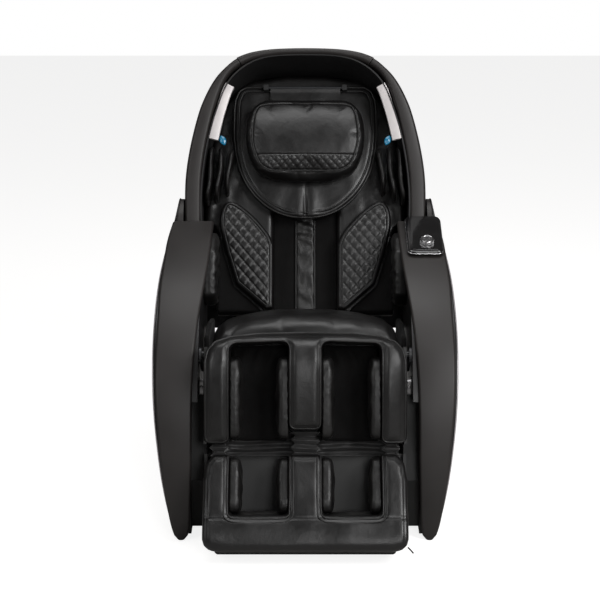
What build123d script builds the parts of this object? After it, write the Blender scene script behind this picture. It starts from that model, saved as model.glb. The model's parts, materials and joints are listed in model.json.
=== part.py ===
"""Reclining massage chair with side arms, hooded backrest, leg rest and foot rest.

Frame: +Z up, the sitter faces -Y, X = 0 is the middle plane, Z = 0 is the floor.
Lengths are in millimetres.  "left" and "right" are the sitter's: left is +X.
"""

import os
from math import cos, pi, radians, sin

from build123d import *

# ---------------------------------------------------------------- driving sizes
seat_width = 510.0            # seat cushion, side to side
seat_height = 552.0           # highest line of the seat cushion
seat_depth = 365.0            # seat cushion, front to back

back_origin = (130.0, 430.0)  # y, z of the foot of the back cushion plane
back_lean = 28.0              # degrees behind vertical
shell_half_width = 348.0      # backrest shell at the shoulders
shell_top = 785.0             # along the back plane, to the top of the hood
shell_depth = 220.0           # behind the back plane
shell_wall = 4.0
wing_foot = 300.0             # where the side wings of the hood end, along the back plane
wing_reach_foot = 111.0       # how far the wing stands in front of the back plane at its foot
wing_reach_top = 182.0        # the same at the hood's top

leg_hinge = (-345.0, 490.0)   # y, z of the leg rest hinge
leg_lean = 20.0               # degrees, foot end forward
leg_half_width = 266.0
calf_top = 60.0               # along the leg, above the hinge
calf_length = 235.0           # below the hinge
foot_gap = 27.0               # fabric gap between calf rest and foot rest
foot_length = 168.0           # side walls of the foot rest, along the leg
well_half_width = 197.0       # outer wall of each leg well
divider_half_width = 44.0

arm_rear = 150.0              # y of the armrest's rear end
arm_rear_height = 737.0
arm_clear = 12.0              # arms above the floor
arm_wall = 5.0
cover_thickness = 12.0
panel_thickness = 6.0

base_half_width = 304.0
base_front = -385.0
base_rear = 300.0
base_clear = 20.0
base_wall = 4.0
cheek_height = 370.0          # the base's high front corners, beside the leg rest

recline_pivot = (150.0, 400.0)
tilt_pivot = (110.0, 330.0)
knob_radius = 20.0
pin_clearance = 0.06          # radial, in every running hole
slide_clearance = 0.5
pin_radius = 10.0
hinge_pin_radius = 8.0

carriage_rest = 380.0         # along the back plane
roller_radius = 28.0
roller_spread = 62.0          # roller axle from the massage arm's pivot
roller_width = 24.0

caster_radius = 32.0
caster_y = 318.0

# ---------------------------------------------------------------- frames
back_up = (0, sin(radians(back_lean)), cos(radians(back_lean)))
back_out = (0, -cos(radians(back_lean)), sin(radians(back_lean)))
back = Plane(origin=(0, *back_origin), x_dir=(1, 0, 0), z_dir=back_out)
back_side = Plane(origin=(0, *back_origin), x_dir=back_up, z_dir=(1, 0, 0))
leg_up = (0, sin(radians(leg_lean)), cos(radians(leg_lean)))
leg_out = (0, -cos(radians(leg_lean)), sin(radians(leg_lean)))
leg = Plane(origin=(0, *leg_hinge), x_dir=(1, 0, 0), z_dir=leg_out)
leg_side = Plane(origin=(0, *leg_hinge), x_dir=leg_up, z_dir=(1, 0, 0))

os.makedirs("parts", exist_ok=True)


def save(shape, name):
    """Writes one node."""
    shape.label = name
    export_step(shape, f"parts/{name}.step")


def save_pair(shape, name):
    """Writes a left node and its mirror image on the right."""
    save(shape, f"left_{name}")
    save(mirror(shape, about=Plane.YZ), f"right_{name}")


def both_sides(shape):
    """A shape and its mirror image, as one group of separate solids."""
    return Compound(children=[*shape.solids(), *mirror(shape, about=Plane.YZ).solids()])


def into_back(y, z):
    """Distance along the back plane and in front of it, from world y and z."""
    dy, dz = y - back_origin[0], z - back_origin[1]
    return dy * back_up[1] + dz * back_up[2], dy * back_out[1] + dz * back_out[2]


# ---------------------------------------------------------------- base
rail_x = 196.0
rail_size = 40.0
rail_z = base_clear + rail_size / 2
rail_front = base_front + 60
rail_rear = base_rear - 20
upright_x = 215.0
upright_thickness = 8.0
caster_fork_half = 19.0
caster_axle_radius = 6.0
cheek_gauge = 4.0

with BuildPart() as base_frame:
    # two rails, two cross tubes, two tilt uprights and the caster cheeks, welded together
    with BuildSketch(Plane.XZ.offset(-rail_rear)):
        with Locations((-rail_x, rail_z), (rail_x, rail_z)):
            Rectangle(rail_size, rail_size)
            Rectangle(rail_size - 6, rail_size - 6, mode=Mode.SUBTRACT)
    extrude(amount=rail_rear - rail_front)
    with BuildSketch(Plane.YZ.offset(-rail_x + rail_size / 2)):
        with Locations((rail_front + 60, rail_z + base_wall / 2), (tilt_pivot[0], rail_z + base_wall / 2)):
            Rectangle(rail_size, rail_size - base_wall)
            Rectangle(rail_size - 6, rail_size - base_wall - 6, mode=Mode.SUBTRACT)
    extrude(amount=2 * rail_x - rail_size)
    for side in (-1, 1):
        with BuildSketch(Plane.YZ.offset(side * upright_x - upright_thickness / 2)):
            with BuildLine():
                Polyline((tilt_pivot[0] - 70, rail_z), (tilt_pivot[0] + 70, rail_z),
                         (tilt_pivot[0] + 20, tilt_pivot[1]), (tilt_pivot[0] - 20, tilt_pivot[1]), close=True)
            make_face()
            with Locations(tilt_pivot):
                Circle(22)
        extrude(amount=upright_thickness)
        with BuildSketch(Plane.YZ.offset(side * (upright_x - 9) - 10)):
            with Locations(tilt_pivot):
                Circle(pin_radius)
        extrude(amount=20)
        for cheek in (-1, 1):
            centre = side * rail_x + cheek * (caster_fork_half - cheek_gauge / 2 + 1)
            with BuildSketch(Plane.YZ.offset(centre - cheek_gauge / 2)):
                with BuildLine():
                    Polyline((rail_rear - 30, rail_z + 12), (caster_y + 13, rail_z + 12),
                             (caster_y + 13, caster_radius - 13), (caster_y - 13, caster_radius - 13),
                             (rail_rear - 30, rail_z - 12), close=True)
                make_face()
            extrude(amount=cheek_gauge)
        with BuildSketch(Plane.YZ.offset(side * rail_x - caster_fork_half)):
            with Locations((caster_y, caster_radius)):
                Circle(caster_axle_radius)
        extrude(amount=2 * caster_fork_half)
save(base_frame.part, "base_frame")

for side, x in (("left", rail_x), ("right", -rail_x)):
    with BuildPart() as wheel:
        with BuildSketch(Plane.YZ.offset(x - 14)):
            with Locations((caster_y, caster_radius)):
                Circle(caster_radius)
                Circle(caster_axle_radius + pin_clearance, mode=Mode.SUBTRACT)
        extrude(amount=28)
        chamfer(wheel.edges().filter_by(GeomType.CIRCLE).sort_by(lambda e: e.radius)[-2:], 3)
    save(wheel.part, f"{side}_caster_wheel")

inlet_x, inlet_z = 58.0, 110.0
switch_x = 16.0
switch_width, switch_height = 14.0, 24.0
inlet_plate = (90.0, 44.0)
inlet_centre = 40.0

with BuildPart() as base_cover:
    # a moulded tub, open upwards, whose high front corners stand beside the leg rest
    with BuildSketch(Plane.YZ.offset(-base_half_width)):
        with BuildLine():
            Polyline((base_front, base_clear), (base_front, 150), (base_front + 13, 190),
                     (-308, cheek_height), (-230, cheek_height), (0, 236), (base_rear, 150),
                     (base_rear, base_clear), close=True)
        make_face()
    extrude(amount=2 * base_half_width)
    inside = 2 * (base_half_width - base_wall)
    with BuildSketch(Plane.YZ.offset(-inside / 2)):
        with BuildLine():
            Polyline((base_front + base_wall, base_clear + base_wall), (base_front + base_wall, 150),
                     (base_front + 13 + base_wall, 190), (-304, cheek_height + 1),
                     (base_rear - base_wall, cheek_height + 1),
                     (base_rear - base_wall, base_clear + base_wall), close=True)
        make_face()
    extrude(amount=inside, mode=Mode.SUBTRACT)
    # the front wall is low between the corners
    with BuildSketch(Plane.XZ.offset(280)):
        with Locations((0, 300)):
            Rectangle(2 * 262, 200)
    extrude(amount=110, mode=Mode.SUBTRACT)
    # the rails stand through the floor
    with BuildSketch(Plane.XY.offset(base_clear)):
        with Locations(*[(side * rail_x, (rail_front + rail_rear) / 2) for side in (-1, 1)]):
            Rectangle(rail_size + 1, rail_rear - rail_front + 1)
    extrude(amount=base_wall, mode=Mode.SUBTRACT)
    # openings for the casters, the plug and the four bosses that hold the frame
    with BuildSketch(Plane.XZ.offset(-base_rear)):
        with Locations((-rail_x, base_clear + 32), (rail_x, base_clear + 32)):
            Rectangle(58, 64)
    extrude(amount=base_wall + 1, mode=Mode.SUBTRACT)
    with BuildSketch(Plane.XY.offset(base_clear)):
        with Locations((-rail_x, base_rear - 25), (rail_x, base_rear - 25)):
            Rectangle(58, 60)
    extrude(amount=base_wall, mode=Mode.SUBTRACT)
    with BuildSketch(Plane.XZ.offset(-base_rear)):
        with Locations((inlet_centre, inlet_z)):
            Rectangle(inlet_plate[0] - 8, inlet_plate[1] - 8)
    extrude(amount=base_wall, mode=Mode.SUBTRACT)
    for side in (-1, 1):
        with Locations((side * (rail_x + rail_size / 2), rail_front + 120, base_clear + base_wall),
                       (side * (rail_x + rail_size / 2), 200, base_clear + base_wall)):
            Box(60, 30, rail_size - base_wall,
                align=(Align.MIN if side > 0 else Align.MAX, Align.CENTER, Align.MIN))
save(base_cover.part, "base_cover")

glide_radius = 18.0
with BuildPart() as floor_glides:
    with BuildSketch(Plane.XY):
        with Locations((-rail_x, rail_front + 30), (rail_x, rail_front + 30),
                       (-rail_x, 200), (rail_x, 200)):
            Circle(glide_radius)
    extrude(amount=base_clear, taper=-6)
save(floor_glides.part, "floor_glides")

tub_floor = base_clear + base_wall
with BuildPart() as control_box:
    with Locations((90, -140, tub_floor)):
        Box(150, 120, 70, align=(Align.CENTER, Align.CENTER, Align.MIN))
    fillet(control_box.edges().filter_by(Axis.Z), 6)
    with Locations((90, -140, tub_floor + 70)):
        with GridLocations(0, 20, 1, 4):
            Box(100, 6, 6, mode=Mode.SUBTRACT)
save(control_box.part, "control_box")

with BuildPart() as air_pump:
    with Locations((-80, -140, tub_floor)):
        Box(130, 90, 60, align=(Align.CENTER, Align.CENTER, Align.MIN))
    with BuildSketch(Plane.XY.offset(tub_floor + 60)):
        with Locations((-110, -140), (-50, -140)):
            Circle(20)
    extrude(amount=30)
save(air_pump.part, "air_pump")

with BuildPart() as power_inlet:
    # appliance inlet and switch bezel in the rear wall
    with BuildSketch(Plane.XZ.offset(-base_rear)):
        with Locations((inlet_centre, inlet_z)):
            Rectangle(*inlet_plate)
        with Locations((inlet_x, inlet_z)):
            Rectangle(27, 20, mode=Mode.SUBTRACT)
        with Locations((switch_x, inlet_z)):
            Rectangle(switch_width + 2, switch_height + 2, mode=Mode.SUBTRACT)
    extrude(amount=-4)
    with BuildSketch(Plane.XZ.offset(-base_rear)):
        with Locations((inlet_centre, inlet_z)):
            Rectangle(inlet_plate[0] - 8, inlet_plate[1] - 8)
        with Locations((inlet_x, inlet_z)):
            Rectangle(27, 20, mode=Mode.SUBTRACT)
        with Locations((switch_x, inlet_z)):
            Rectangle(switch_width + 2, switch_height + 2, mode=Mode.SUBTRACT)
    extrude(amount=22)
    with BuildSketch(Plane.XZ.offset(-base_rear + 22)):
        with Locations((inlet_centre, inlet_z)):
            Rectangle(inlet_plate[0] - 8, inlet_plate[1] - 8)
    extrude(amount=3)
    with BuildSketch(Plane.XZ.offset(-base_rear + 3)):
        with Locations((inlet_x - 7, inlet_z - 3), (inlet_x, inlet_z + 4), (inlet_x + 7, inlet_z - 3)):
            Rectangle(2, 5)
    extrude(amount=20)
    with BuildSketch(Plane.YZ.offset(switch_x - switch_width / 2 - 1)):
        with Locations((base_rear - 6, inlet_z)):
            Circle(2)
    extrude(amount=switch_width + 2)
save(power_inlet.part, "power_inlet")

with BuildPart() as power_switch:
    # rocker: two flats that meet at a blunt angle over the pin
    with BuildSketch(Plane.YZ.offset(switch_x - switch_width / 2)):
        with BuildLine():
            Polyline((base_rear + 6, inlet_z - 11), (base_rear + 3.4, inlet_z), (base_rear + 6, inlet_z + 11),
                     (base_rear - 4, inlet_z + 11), (base_rear - 11, inlet_z + 4),
                     (base_rear - 11, inlet_z - 4), (base_rear - 4, inlet_z - 11), close=True)
        make_face()
        with Locations((base_rear - 6, inlet_z)):
            Circle(2 + pin_clearance, mode=Mode.SUBTRACT)
    extrude(amount=switch_width)
save(power_switch.part, "power_switch")

# ---------------------------------------------------------------- arms
# the line of the armrest's upper surface and front, rear end first
arm_line = [(arm_rear, arm_rear_height), (60, 712), (-60, 672), (-160, 625), (-260, 555), (-340, 470),
            (-395, 370), (-425, 260), (-437, 150), (-436, 60), (-430, arm_clear)]
# z, inner edge, outer edge of the top cover
cover_edges = [(760, 262, 372), (712, 264, 389), (672, 268, 393), (625, 274, 397), (555, 282, 397),
               (470, 288, 398), (370, 291, 395), (260, 295, 386), (150, 300, 375), (60, 305, 361),
               (30, 310, 350), (arm_clear - 2, 318, 338)]
# z, inner face of the outer side shell
side_line = [(arm_clear - 2, 334), (50, 352), (150, 372), (260, 386), (370, 396), (470, 400), (555, 400),
             (625, 396), (672, 388), (712, 377), (745, 369), (830, 354)]


def moved_in(points, distance):
    """An open chain of points moved to its right-hand side, seen along the chain."""
    moved = []
    for index, (a, b) in enumerate(points):
        before = points[max(index - 1, 0)]
        after = points[min(index + 1, len(points) - 1)]
        da, db = after[0] - before[0], after[1] - before[1]
        length = (da * da + db * db) ** 0.5
        moved.append((a - db / length * distance, b + da / length * distance))
    return moved


def cut_low(points, floor):
    """The last point slid along to the level of the arm's underside."""
    a, b = points[-2], points[-1]
    part = (floor - a[1]) / (b[1] - a[1])
    return points[:-1] + [(a[0] + part * (b[0] - a[0]), floor)]


under_cover = cut_low(moved_in(arm_line, cover_thickness), arm_clear)
inside_core = moved_in(arm_line, cover_thickness + arm_wall)

with BuildPart() as arm_cover:
    with BuildSketch(Plane.YZ.offset(255)):
        with BuildLine():
            Spline(*arm_line)
            Line(arm_line[-1], under_cover[-1])
            Spline(*reversed(under_cover))
            Line(under_cover[0], arm_line[0])
        make_face()
    extrude(amount=150)
    with BuildSketch(Plane.XZ.offset(-200)):
        with BuildLine():
            Polyline(*[(inner, z) for z, inner, outer in cover_edges])
            Spline(*[(outer, z) for z, inner, outer in reversed(cover_edges)])
            Line((cover_edges[-1][1], cover_edges[-1][0]), (cover_edges[-1][2], cover_edges[-1][0]))
            Line((cover_edges[0][1], cover_edges[0][0]), (cover_edges[0][2], cover_edges[0][0]))
        make_face()
    extrude(amount=700, mode=Mode.INTERSECT)
save_pair(arm_cover.part, "arm_cover")

core_rear = 140.0
core_rear_low = 250.0
core_step = 300.0             # height below which the arm's box reaches further back
inner_face = 285.0


def arm_block(low, high):
    """The arm's side profile under its cover, between two distances from the middle plane."""
    with BuildPart() as block:
        with BuildSketch(Plane.YZ.offset(low)):
            with BuildLine():
                Spline(*under_cover)
                Polyline(under_cover[-1], (core_rear_low, arm_clear), (core_rear_low, core_step),
                         (core_rear, core_step), (under_cover[0][0], 640), under_cover[0])
            make_face()
        extrude(amount=high - low)
    return block.part


with BuildPart() as lower_wall:
    # the lower half of the inner wall steps outwards beside the base, with a shelf at the step
    add(arm_block(base_half_width, base_half_width + arm_wall))
    with Locations((base_half_width, -700, 0)):
        Box(arm_wall, 1400, cheek_height + 4, align=(Align.MIN, Align.MIN, Align.MIN), mode=Mode.INTERSECT)
    with Locations((inner_face, -300, cheek_height)):
        Box(base_half_width - inner_face, core_rear + 300, 4, align=(Align.MIN, Align.MIN, Align.MIN))

with BuildPart() as arm_core:
    add(arm_block(inner_face, inner_face + 130))
    with BuildSketch(Plane.YZ.offset(inner_face + arm_wall)):
        with BuildLine():
            top = inside_core[1:-1]
            Spline(*top)
            Polyline(top[-1], (top[-1][0] + 8, arm_clear + arm_wall),
                     (core_rear_low - arm_wall, arm_clear + arm_wall),
                     (core_rear_low - arm_wall, core_step - arm_wall),
                     (core_rear - arm_wall, core_step - arm_wall),
                     (core_rear - arm_wall, 640), (core_rear - arm_wall - 4, 690), top[0])
        make_face()
    extrude(amount=130, mode=Mode.SUBTRACT)
    with Locations((inner_face, -700, -10)):
        Box(base_half_width - inner_face, 1400, cheek_height + 10, align=(Align.MIN, Align.MIN, Align.MIN),
            mode=Mode.SUBTRACT)
    add(lower_wall.part)
    with BuildSketch(Plane.XZ.offset(-core_rear_low - 10)):
        with BuildLine():
            Spline(*[(x, z) for z, x in side_line])
            Polyline((side_line[-1][1], side_line[-1][0]), (200, side_line[-1][0]), (200, side_line[0][0]),
                     (side_line[0][1], side_line[0][0]))
        make_face()
    extrude(amount=800, mode=Mode.INTERSECT)
save_pair(arm_core.part, "arm_core")


def side_plate(inner, outer):
    """A plate between two offsets of the side line, as long as the chair."""
    with BuildPart() as plate:
        with BuildSketch(Plane.XZ.offset(-400)):
            with BuildLine():
                Spline(*[(x + inner, z) for z, x in side_line])
                Spline(*[(x + outer, z) for z, x in side_line])
                Line((side_line[0][1] + inner, side_line[0][0]), (side_line[0][1] + outer, side_line[0][0]))
                Line((side_line[-1][1] + inner, side_line[-1][0]),
                     (side_line[-1][1] + outer, side_line[-1][0]))
            make_face()
        extrude(amount=900)
    return plate.part


shell_outline_front = [p for p in moved_in(arm_line, cover_thickness + 1)]
with BuildPart() as side_shell:
    with BuildSketch(Plane.YZ.offset(300)):
        with BuildLine():
            front = cut_low(shell_outline_front, arm_clear)[1:]
            Spline(*front)
            Line(front[-1], (236, arm_clear))
            Spline((236, arm_clear), (304, 110), (344, 300), (362, 500), (352, 690), (296, 786), (212, 812),
                   (160, 778))
            Polyline((160, 778), (arm_rear + 2, 716), (arm_rear - 6, 704), front[0])
        make_face()
    extrude(amount=150)
    add(side_plate(0, panel_thickness), mode=Mode.INTERSECT)
save_pair(side_shell.part, "side_shell")

with BuildPart() as side_panel:
    with BuildSketch(Plane.YZ.offset(300)):
        with BuildLine():
            Spline((-424, 60), (-421, 150), (-409, 260), (-378, 365), (-324, 462), (-248, 541), (-154, 606),
                   (-52, 652), (66, 690))
            Spline((66, 690), (180, 640), (236, 500), (226, 300), (150, 130), (40, 40))
            Line((40, 40), (-424, 60))
        make_face()
    extrude(amount=150)
    add(side_plate(panel_thickness, panel_thickness + 8), mode=Mode.INTERSECT)
save_pair(side_panel.part, "side_panel")

with BuildPart() as arm_pad:
    with BuildSketch(Plane.YZ.offset(244)):
        with BuildLine():
            Polyline((-34, 598), (6, 678), (100, 700), (132, 690), (120, 612), (96, 556), (34, 548),
                     close=True)
        outline = make_face()
        fillet(outline.vertices(), 12)
    extrude(amount=inner_face - 244)
save_pair(arm_pad.part, "arm_pad")

# control pad on the left arm: it lies on the armrest and carries the knob's pin
pad_front, pad_rear = -38.0, arm_rear - 2
pad_thickness = 16.0
pad_inner, pad_outer = 286.0, 384.0
arm_slope = 18.4
knob_y, knob_x = 8.0, 340.0
surface = Plane(origin=(knob_x, knob_y, 672 + (knob_y + 60) / 3), x_dir=(1, 0, 0),
                z_dir=(0, -sin(radians(arm_slope)), cos(radians(arm_slope))))
with BuildPart() as control_pad:
    with BuildSketch(surface.offset(4)):
        with Locations((0.5 * (pad_inner + pad_outer) - knob_x, 46)):
            RectangleRounded(pad_outer - pad_inner, 192, 18)
    extrude(amount=pad_thickness - 4)
    with BuildSketch(surface):
        with Locations((0.5 * (pad_inner + pad_outer) - knob_x, 36)):
            RectangleRounded(pad_outer - pad_inner - 16, 150, 10)
    extrude(amount=4)
    with BuildSketch(surface.offset(pad_thickness)):
        Circle(5)
    extrude(amount=9)
    # underside cut to the armrest
    with BuildSketch(Plane.YZ.offset(255)):
        with BuildLine():
            Spline(*arm_line)
            Polyline(arm_line[-1], (300, 0), (300, 760), arm_line[0])
        make_face()
    extrude(amount=150, mode=Mode.SUBTRACT)
save(control_pad.part, "control_pad")

with BuildPart() as control_knob:
    with BuildSketch(surface.offset(pad_thickness + 0.5)):
        Circle(knob_radius)
        Circle(5 + pin_clearance, mode=Mode.SUBTRACT)
    extrude(amount=9)
    with BuildSketch(surface.offset(pad_thickness + 9.5)):
        Circle(knob_radius)
    extrude(amount=3)
    by_height = control_knob.faces().sort_by(lambda f: (f.center() - surface.origin).dot(surface.z_dir))
    chamfer(by_height[-1].edges(), 1.5)
save(control_knob.part, "control_knob")

# ---------------------------------------------------------------- seat
plate_x = 204.0
plate_gauge = 8.0
hinge_x = 277.0
hinge_gauge = 6.0
pan_top = [(-262, 452), (-200, 447), (90, 372)]

with BuildPart() as seat_frame:
    # folded pan, two side plates with the tilt and recline bearings, two arms for the leg rest
    with BuildSketch(Plane.YZ.offset(-250)):
        with BuildLine():
            Polyline(*pan_top, (90, 368), (-200, 443), (-262, 448), close=True)
        make_face()
    extrude(amount=500)
    for side in (-1, 1):
        with BuildSketch(Plane.YZ.offset(side * plate_x - plate_gauge / 2)):
            with BuildLine():
                Polyline((-240, 447), (-200, 445), (92, 370), (132, 392),
                         (recline_pivot[0] - 14, recline_pivot[1] + 14),
                         (recline_pivot[0] + 18, recline_pivot[1] - 10),
                         (tilt_pivot[0] + 20, tilt_pivot[1] - 14),
                         (tilt_pivot[0] - 10, tilt_pivot[1] - 22), (-240, 412), close=True)
            make_face()
            with Locations(tilt_pivot):
                Circle(24)
                Circle(pin_radius + pin_clearance, mode=Mode.SUBTRACT)
            with Locations(recline_pivot):
                Circle(20)
        extrude(amount=plate_gauge)
        with BuildSketch(Plane.YZ.offset(side * (plate_x + 10) - 14)):
            with Locations(recline_pivot):
                Circle(pin_radius)
        extrude(amount=28)
        with BuildSketch(Plane.YZ.offset(side * hinge_x - hinge_gauge / 2)):
            with BuildLine():
                Polyline((-268, 418), (-236, 418), (-236, 446), (leg_hinge[0] + 12, leg_hinge[1] + 15),
                         (leg_hinge[0] - 12, leg_hinge[1] - 15), close=True)
            make_face()
            with Locations(leg_hinge):
                Circle(18)
        extrude(amount=hinge_gauge)
        with BuildSketch(Plane.YZ.offset(side * (leg_half_width + 3) - 11)):
            with Locations(leg_hinge):
                Circle(hinge_pin_radius)
        extrude(amount=22)
    with BuildSketch(Plane.YZ.offset(-hinge_x)):
        with Locations((-250, 432)):
            Circle(14)
            Circle(11, mode=Mode.SUBTRACT)
    extrude(amount=2 * hinge_x)
save(seat_frame.part, "seat_frame")

seat_front = -275.0
seat_rear = seat_front + seat_depth
with BuildPart() as seat_cushion:
    with BuildSketch(Plane.YZ.offset(-seat_width / 2)):
        with BuildLine():
            Polyline((-200, 447), (-262, 452), (seat_front, 466))
            Spline((seat_front, 466), (seat_front - 2, 500), (-248, 540), (-195, seat_height), (-100, 536),
                   (0, 510), (seat_rear, 484))
            Polyline((seat_rear, 484), (90, 372), (-200, 447))
        make_face()
    extrude(amount=seat_width)
    with BuildSketch(Plane.XZ.offset(-seat_rear - 5)):
        with BuildLine():
            ThreePointArc((-seat_width / 2, seat_height - 40), (0, seat_height),
                          (seat_width / 2, seat_height - 40))
            Polyline((seat_width / 2, seat_height - 40), (seat_width / 2, 300), (-seat_width / 2, 300),
                     (-seat_width / 2, seat_height - 40))
        make_face()
    extrude(amount=420, mode=Mode.INTERSECT)
save(seat_cushion.part, "seat_cushion")

# ---------------------------------------------------------------- backrest
# half width against the distance along the back plane, from the foot to the top of the hood
shell_line = [(297, 10), (306, 60), (320, 130), (336, 210), (shell_half_width, 300), (347, 403), (336, 489),
              (316, 576), (297, 633), (267, 691), (242, 721), (213, 748), (180, 766), (125, 779), (60, 784),
              (0, shell_top)]
rim_line = [(302, 280), (301, 403), (290, 489), (270, 576), (251, 633), (225, 690), (190, 727), (150, 751),
            (110, 763), (60, 768), (0, shell_top - 16)]
rim_slope = (wing_reach_top - wing_reach_foot) / (765 - wing_foot)
rim_thickness = 30.0
liner_wall = 4.0
pad_rear, pad_front = -10.0, 22.0
wing_front = 60.0
bib_front = 54.0


def rim_front(s):
    """Distance in front of the back plane of the hood's front edge."""
    return wing_reach_foot + (s - wing_foot) * rim_slope


def whole(half, foot):
    """Face whose right half has the given edge, cut straight across at its foot."""
    right = [(x, s) for x, s in half if s > foot + 1]
    low = [p for p in half if p[1] <= foot + 1][-1:] or [right[0]]
    right = [(low[0][0], foot)] + right
    left = [(-x, s) for x, s in right[:-1]]
    with BuildSketch() as face:
        with BuildLine():
            Spline(*left, *reversed(right))
            Line(left[0], right[0])
        make_face()
    return face.sketch


def inner_line(line, inset):
    """A half outline moved towards the middle."""
    return moved_in(line, inset)[:-1] + [(0, line[-1][1] - inset)]


def slab(face, low, high):
    """A face drawn along the back plane, given a range in front of that plane."""
    with BuildPart() as block:
        extrude(back.offset(low) * face, amount=high - low)
    return block.part


def across(points, half_width, plane=back_side):
    """A side profile (along, in front) carried across the chair."""
    with BuildPart() as block:
        with BuildSketch(plane.offset(-half_width)):
            with BuildLine():
                Polyline(*points, close=True)
            make_face()
        extrude(amount=2 * half_width)
    return block.part


def rim_band(low, high, foot=wing_foot - 15, top=820):
    """Block that follows the slope of the hood's front edge."""
    return across([(foot, rim_front(foot) + low), (top, rim_front(top) + low),
                   (top, rim_front(top) + high), (foot, rim_front(foot) + high)], 380)


rear_line = [(-20, -88), (60, -116), (150, -146), (300, -0.87 * shell_depth), (450, -shell_depth),
             (600, -0.985 * shell_depth), (700, -0.86 * shell_depth), (758, -0.62 * shell_depth),
             (786, -45), (790, 40)]


def shell_side(wall):
    """Side profile of the backrest shell, less a wall thickness behind."""
    top = 790 + wall
    with BuildPart() as block:
        with BuildSketch(back_side.offset(-380)):
            with BuildLine():
                Spline(*[(s, n + wall) for s, n in rear_line])
                Polyline((790, 40 + wall), (820, rim_front(820) - rim_thickness + wall * 50),
                         (wing_foot - 15, rim_front(wing_foot - 15) - rim_thickness + wall * 50),
                         (wing_foot - 15, -20 + wall * 50), (-20, -20 + wall * 50), (-20, -88 + wall))
            make_face()
        extrude(amount=760)
    return block.part


with BuildPart() as shell_room:
    # the space inside the shell
    add(slab(whole(inner_line(shell_line, shell_wall), 10), -shell_depth - 8, 260))
    add(shell_side(shell_wall), mode=Mode.INTERSECT)

with BuildPart() as back_shell:
    add(slab(whole(shell_line, 10), -shell_depth - 8, 260))
    add(shell_side(0), mode=Mode.INTERSECT)
    add(shell_room.part, mode=Mode.SUBTRACT)
save(back_shell.part, "back_shell")

with BuildPart() as hood_rim:
    add(slab(whole(shell_line, wing_foot - 15), 0, 260))
    add(slab(whole(rim_line, wing_foot - 16), -1, 261), mode=Mode.SUBTRACT)
    add(rim_band(-rim_thickness, 0), mode=Mode.INTERSECT)
save(hood_rim.part, "hood_rim")

liner_line = inner_line(rim_line, liner_wall)
with BuildPart() as hood_liner:
    add(slab(whole(rim_line, wing_foot - 15), pad_rear, 260))
    add(slab(whole(liner_line, wing_foot - 16), pad_rear - 1, 261), mode=Mode.SUBTRACT)
    add(rim_band(-400, -6), mode=Mode.INTERSECT)
save(hood_liner.part, "hood_liner")

trim_low, trim_high = 512.0, 688.0
with BuildPart() as hood_trim:
    add(slab(whole(liner_line, wing_foot), 60, 220))
    add(slab(whole(inner_line(rim_line, 34), wing_foot - 1), 59, 221), mode=Mode.SUBTRACT)
    add(rim_band(-18, -8, trim_low, trim_high), mode=Mode.INTERSECT)
    with Locations(back * Location((-300, 600, 100))):
        Box(600, 400, 300, mode=Mode.SUBTRACT)
save_pair(hood_trim.part, "hood_trim")

lamp_x, lamp_s = 239.6, 524.0
with BuildPart() as lamp:
    with BuildSketch(back.offset(rim_front(lamp_s) - 30)):
        with Locations((lamp_x, lamp_s)):
            SlotOverall(30, 20, rotation=66)
    extrude(amount=12)
save_pair(lamp.part, "lamp")

ear_x = 218.0
stile_x = 220.0
stile_width = 16.0
bar_rear, bar_front = -118.0, -98.0
pivot_s, pivot_n = into_back(*recline_pivot)
with BuildPart() as standoffs:
    # posts from the stiles to the shell
    for s in (260, 560):
        for side in (-1, 1):
            with BuildSketch(back.offset(-92)):
                with Locations((side * stile_x, s)):
                    Circle(8)
            extrude(amount=-110)
    for side in (-1, 1):
        with BuildSketch(back_side.offset(side * (stile_x + 60) - 60)):
            with Locations((420, -77)):
                Circle(8)
        extrude(amount=120)
    add(shell_room.part, mode=Mode.INTERSECT)

with BuildPart() as back_frame:
    # two stiles with recline ears, two cross bars and posts to the pad and the shell
    for side in (-1, 1):
        with BuildSketch(back.offset(-92)):
            with Locations((side * stile_x, 360)):
                Rectangle(stile_width, 670)
        extrude(amount=30)
        with BuildSketch(back_side.offset(side * ear_x - 4)):
            with BuildLine():
                Polyline((pivot_s - 12, pivot_n - 16), (30, -92), (90, -92), (90, -62),
                         (pivot_s + 14, pivot_n + 14), close=True)
            make_face()
            with Locations((pivot_s, pivot_n)):
                Circle(19)
                Circle(pin_radius + pin_clearance, mode=Mode.SUBTRACT)
        extrude(amount=8)
        with BuildSketch(back.offset(-62)):
            with Locations(*[(side * stile_x, s) for s in (60, 270, 480, 680)]):
                Circle(8)
        extrude(amount=62 + pad_rear)
    with BuildSketch(back.offset(bar_rear)):
        with Locations((0, 120), (0, 690)):
            Rectangle(2 * stile_x + stile_width, 20)
    extrude(amount=bar_front - bar_rear + 8)
    add(standoffs.part)
save(back_frame.part, "back_frame")

guide_x = 101.0
with BuildPart() as guide_rails:
    with BuildSketch(back.offset(bar_rear)):
        with Locations((-guide_x, 405), (guide_x, 405)):
            Rectangle(10, 549)
    extrude(amount=12)
save(guide_rails.part, "guide_rails")

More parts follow.
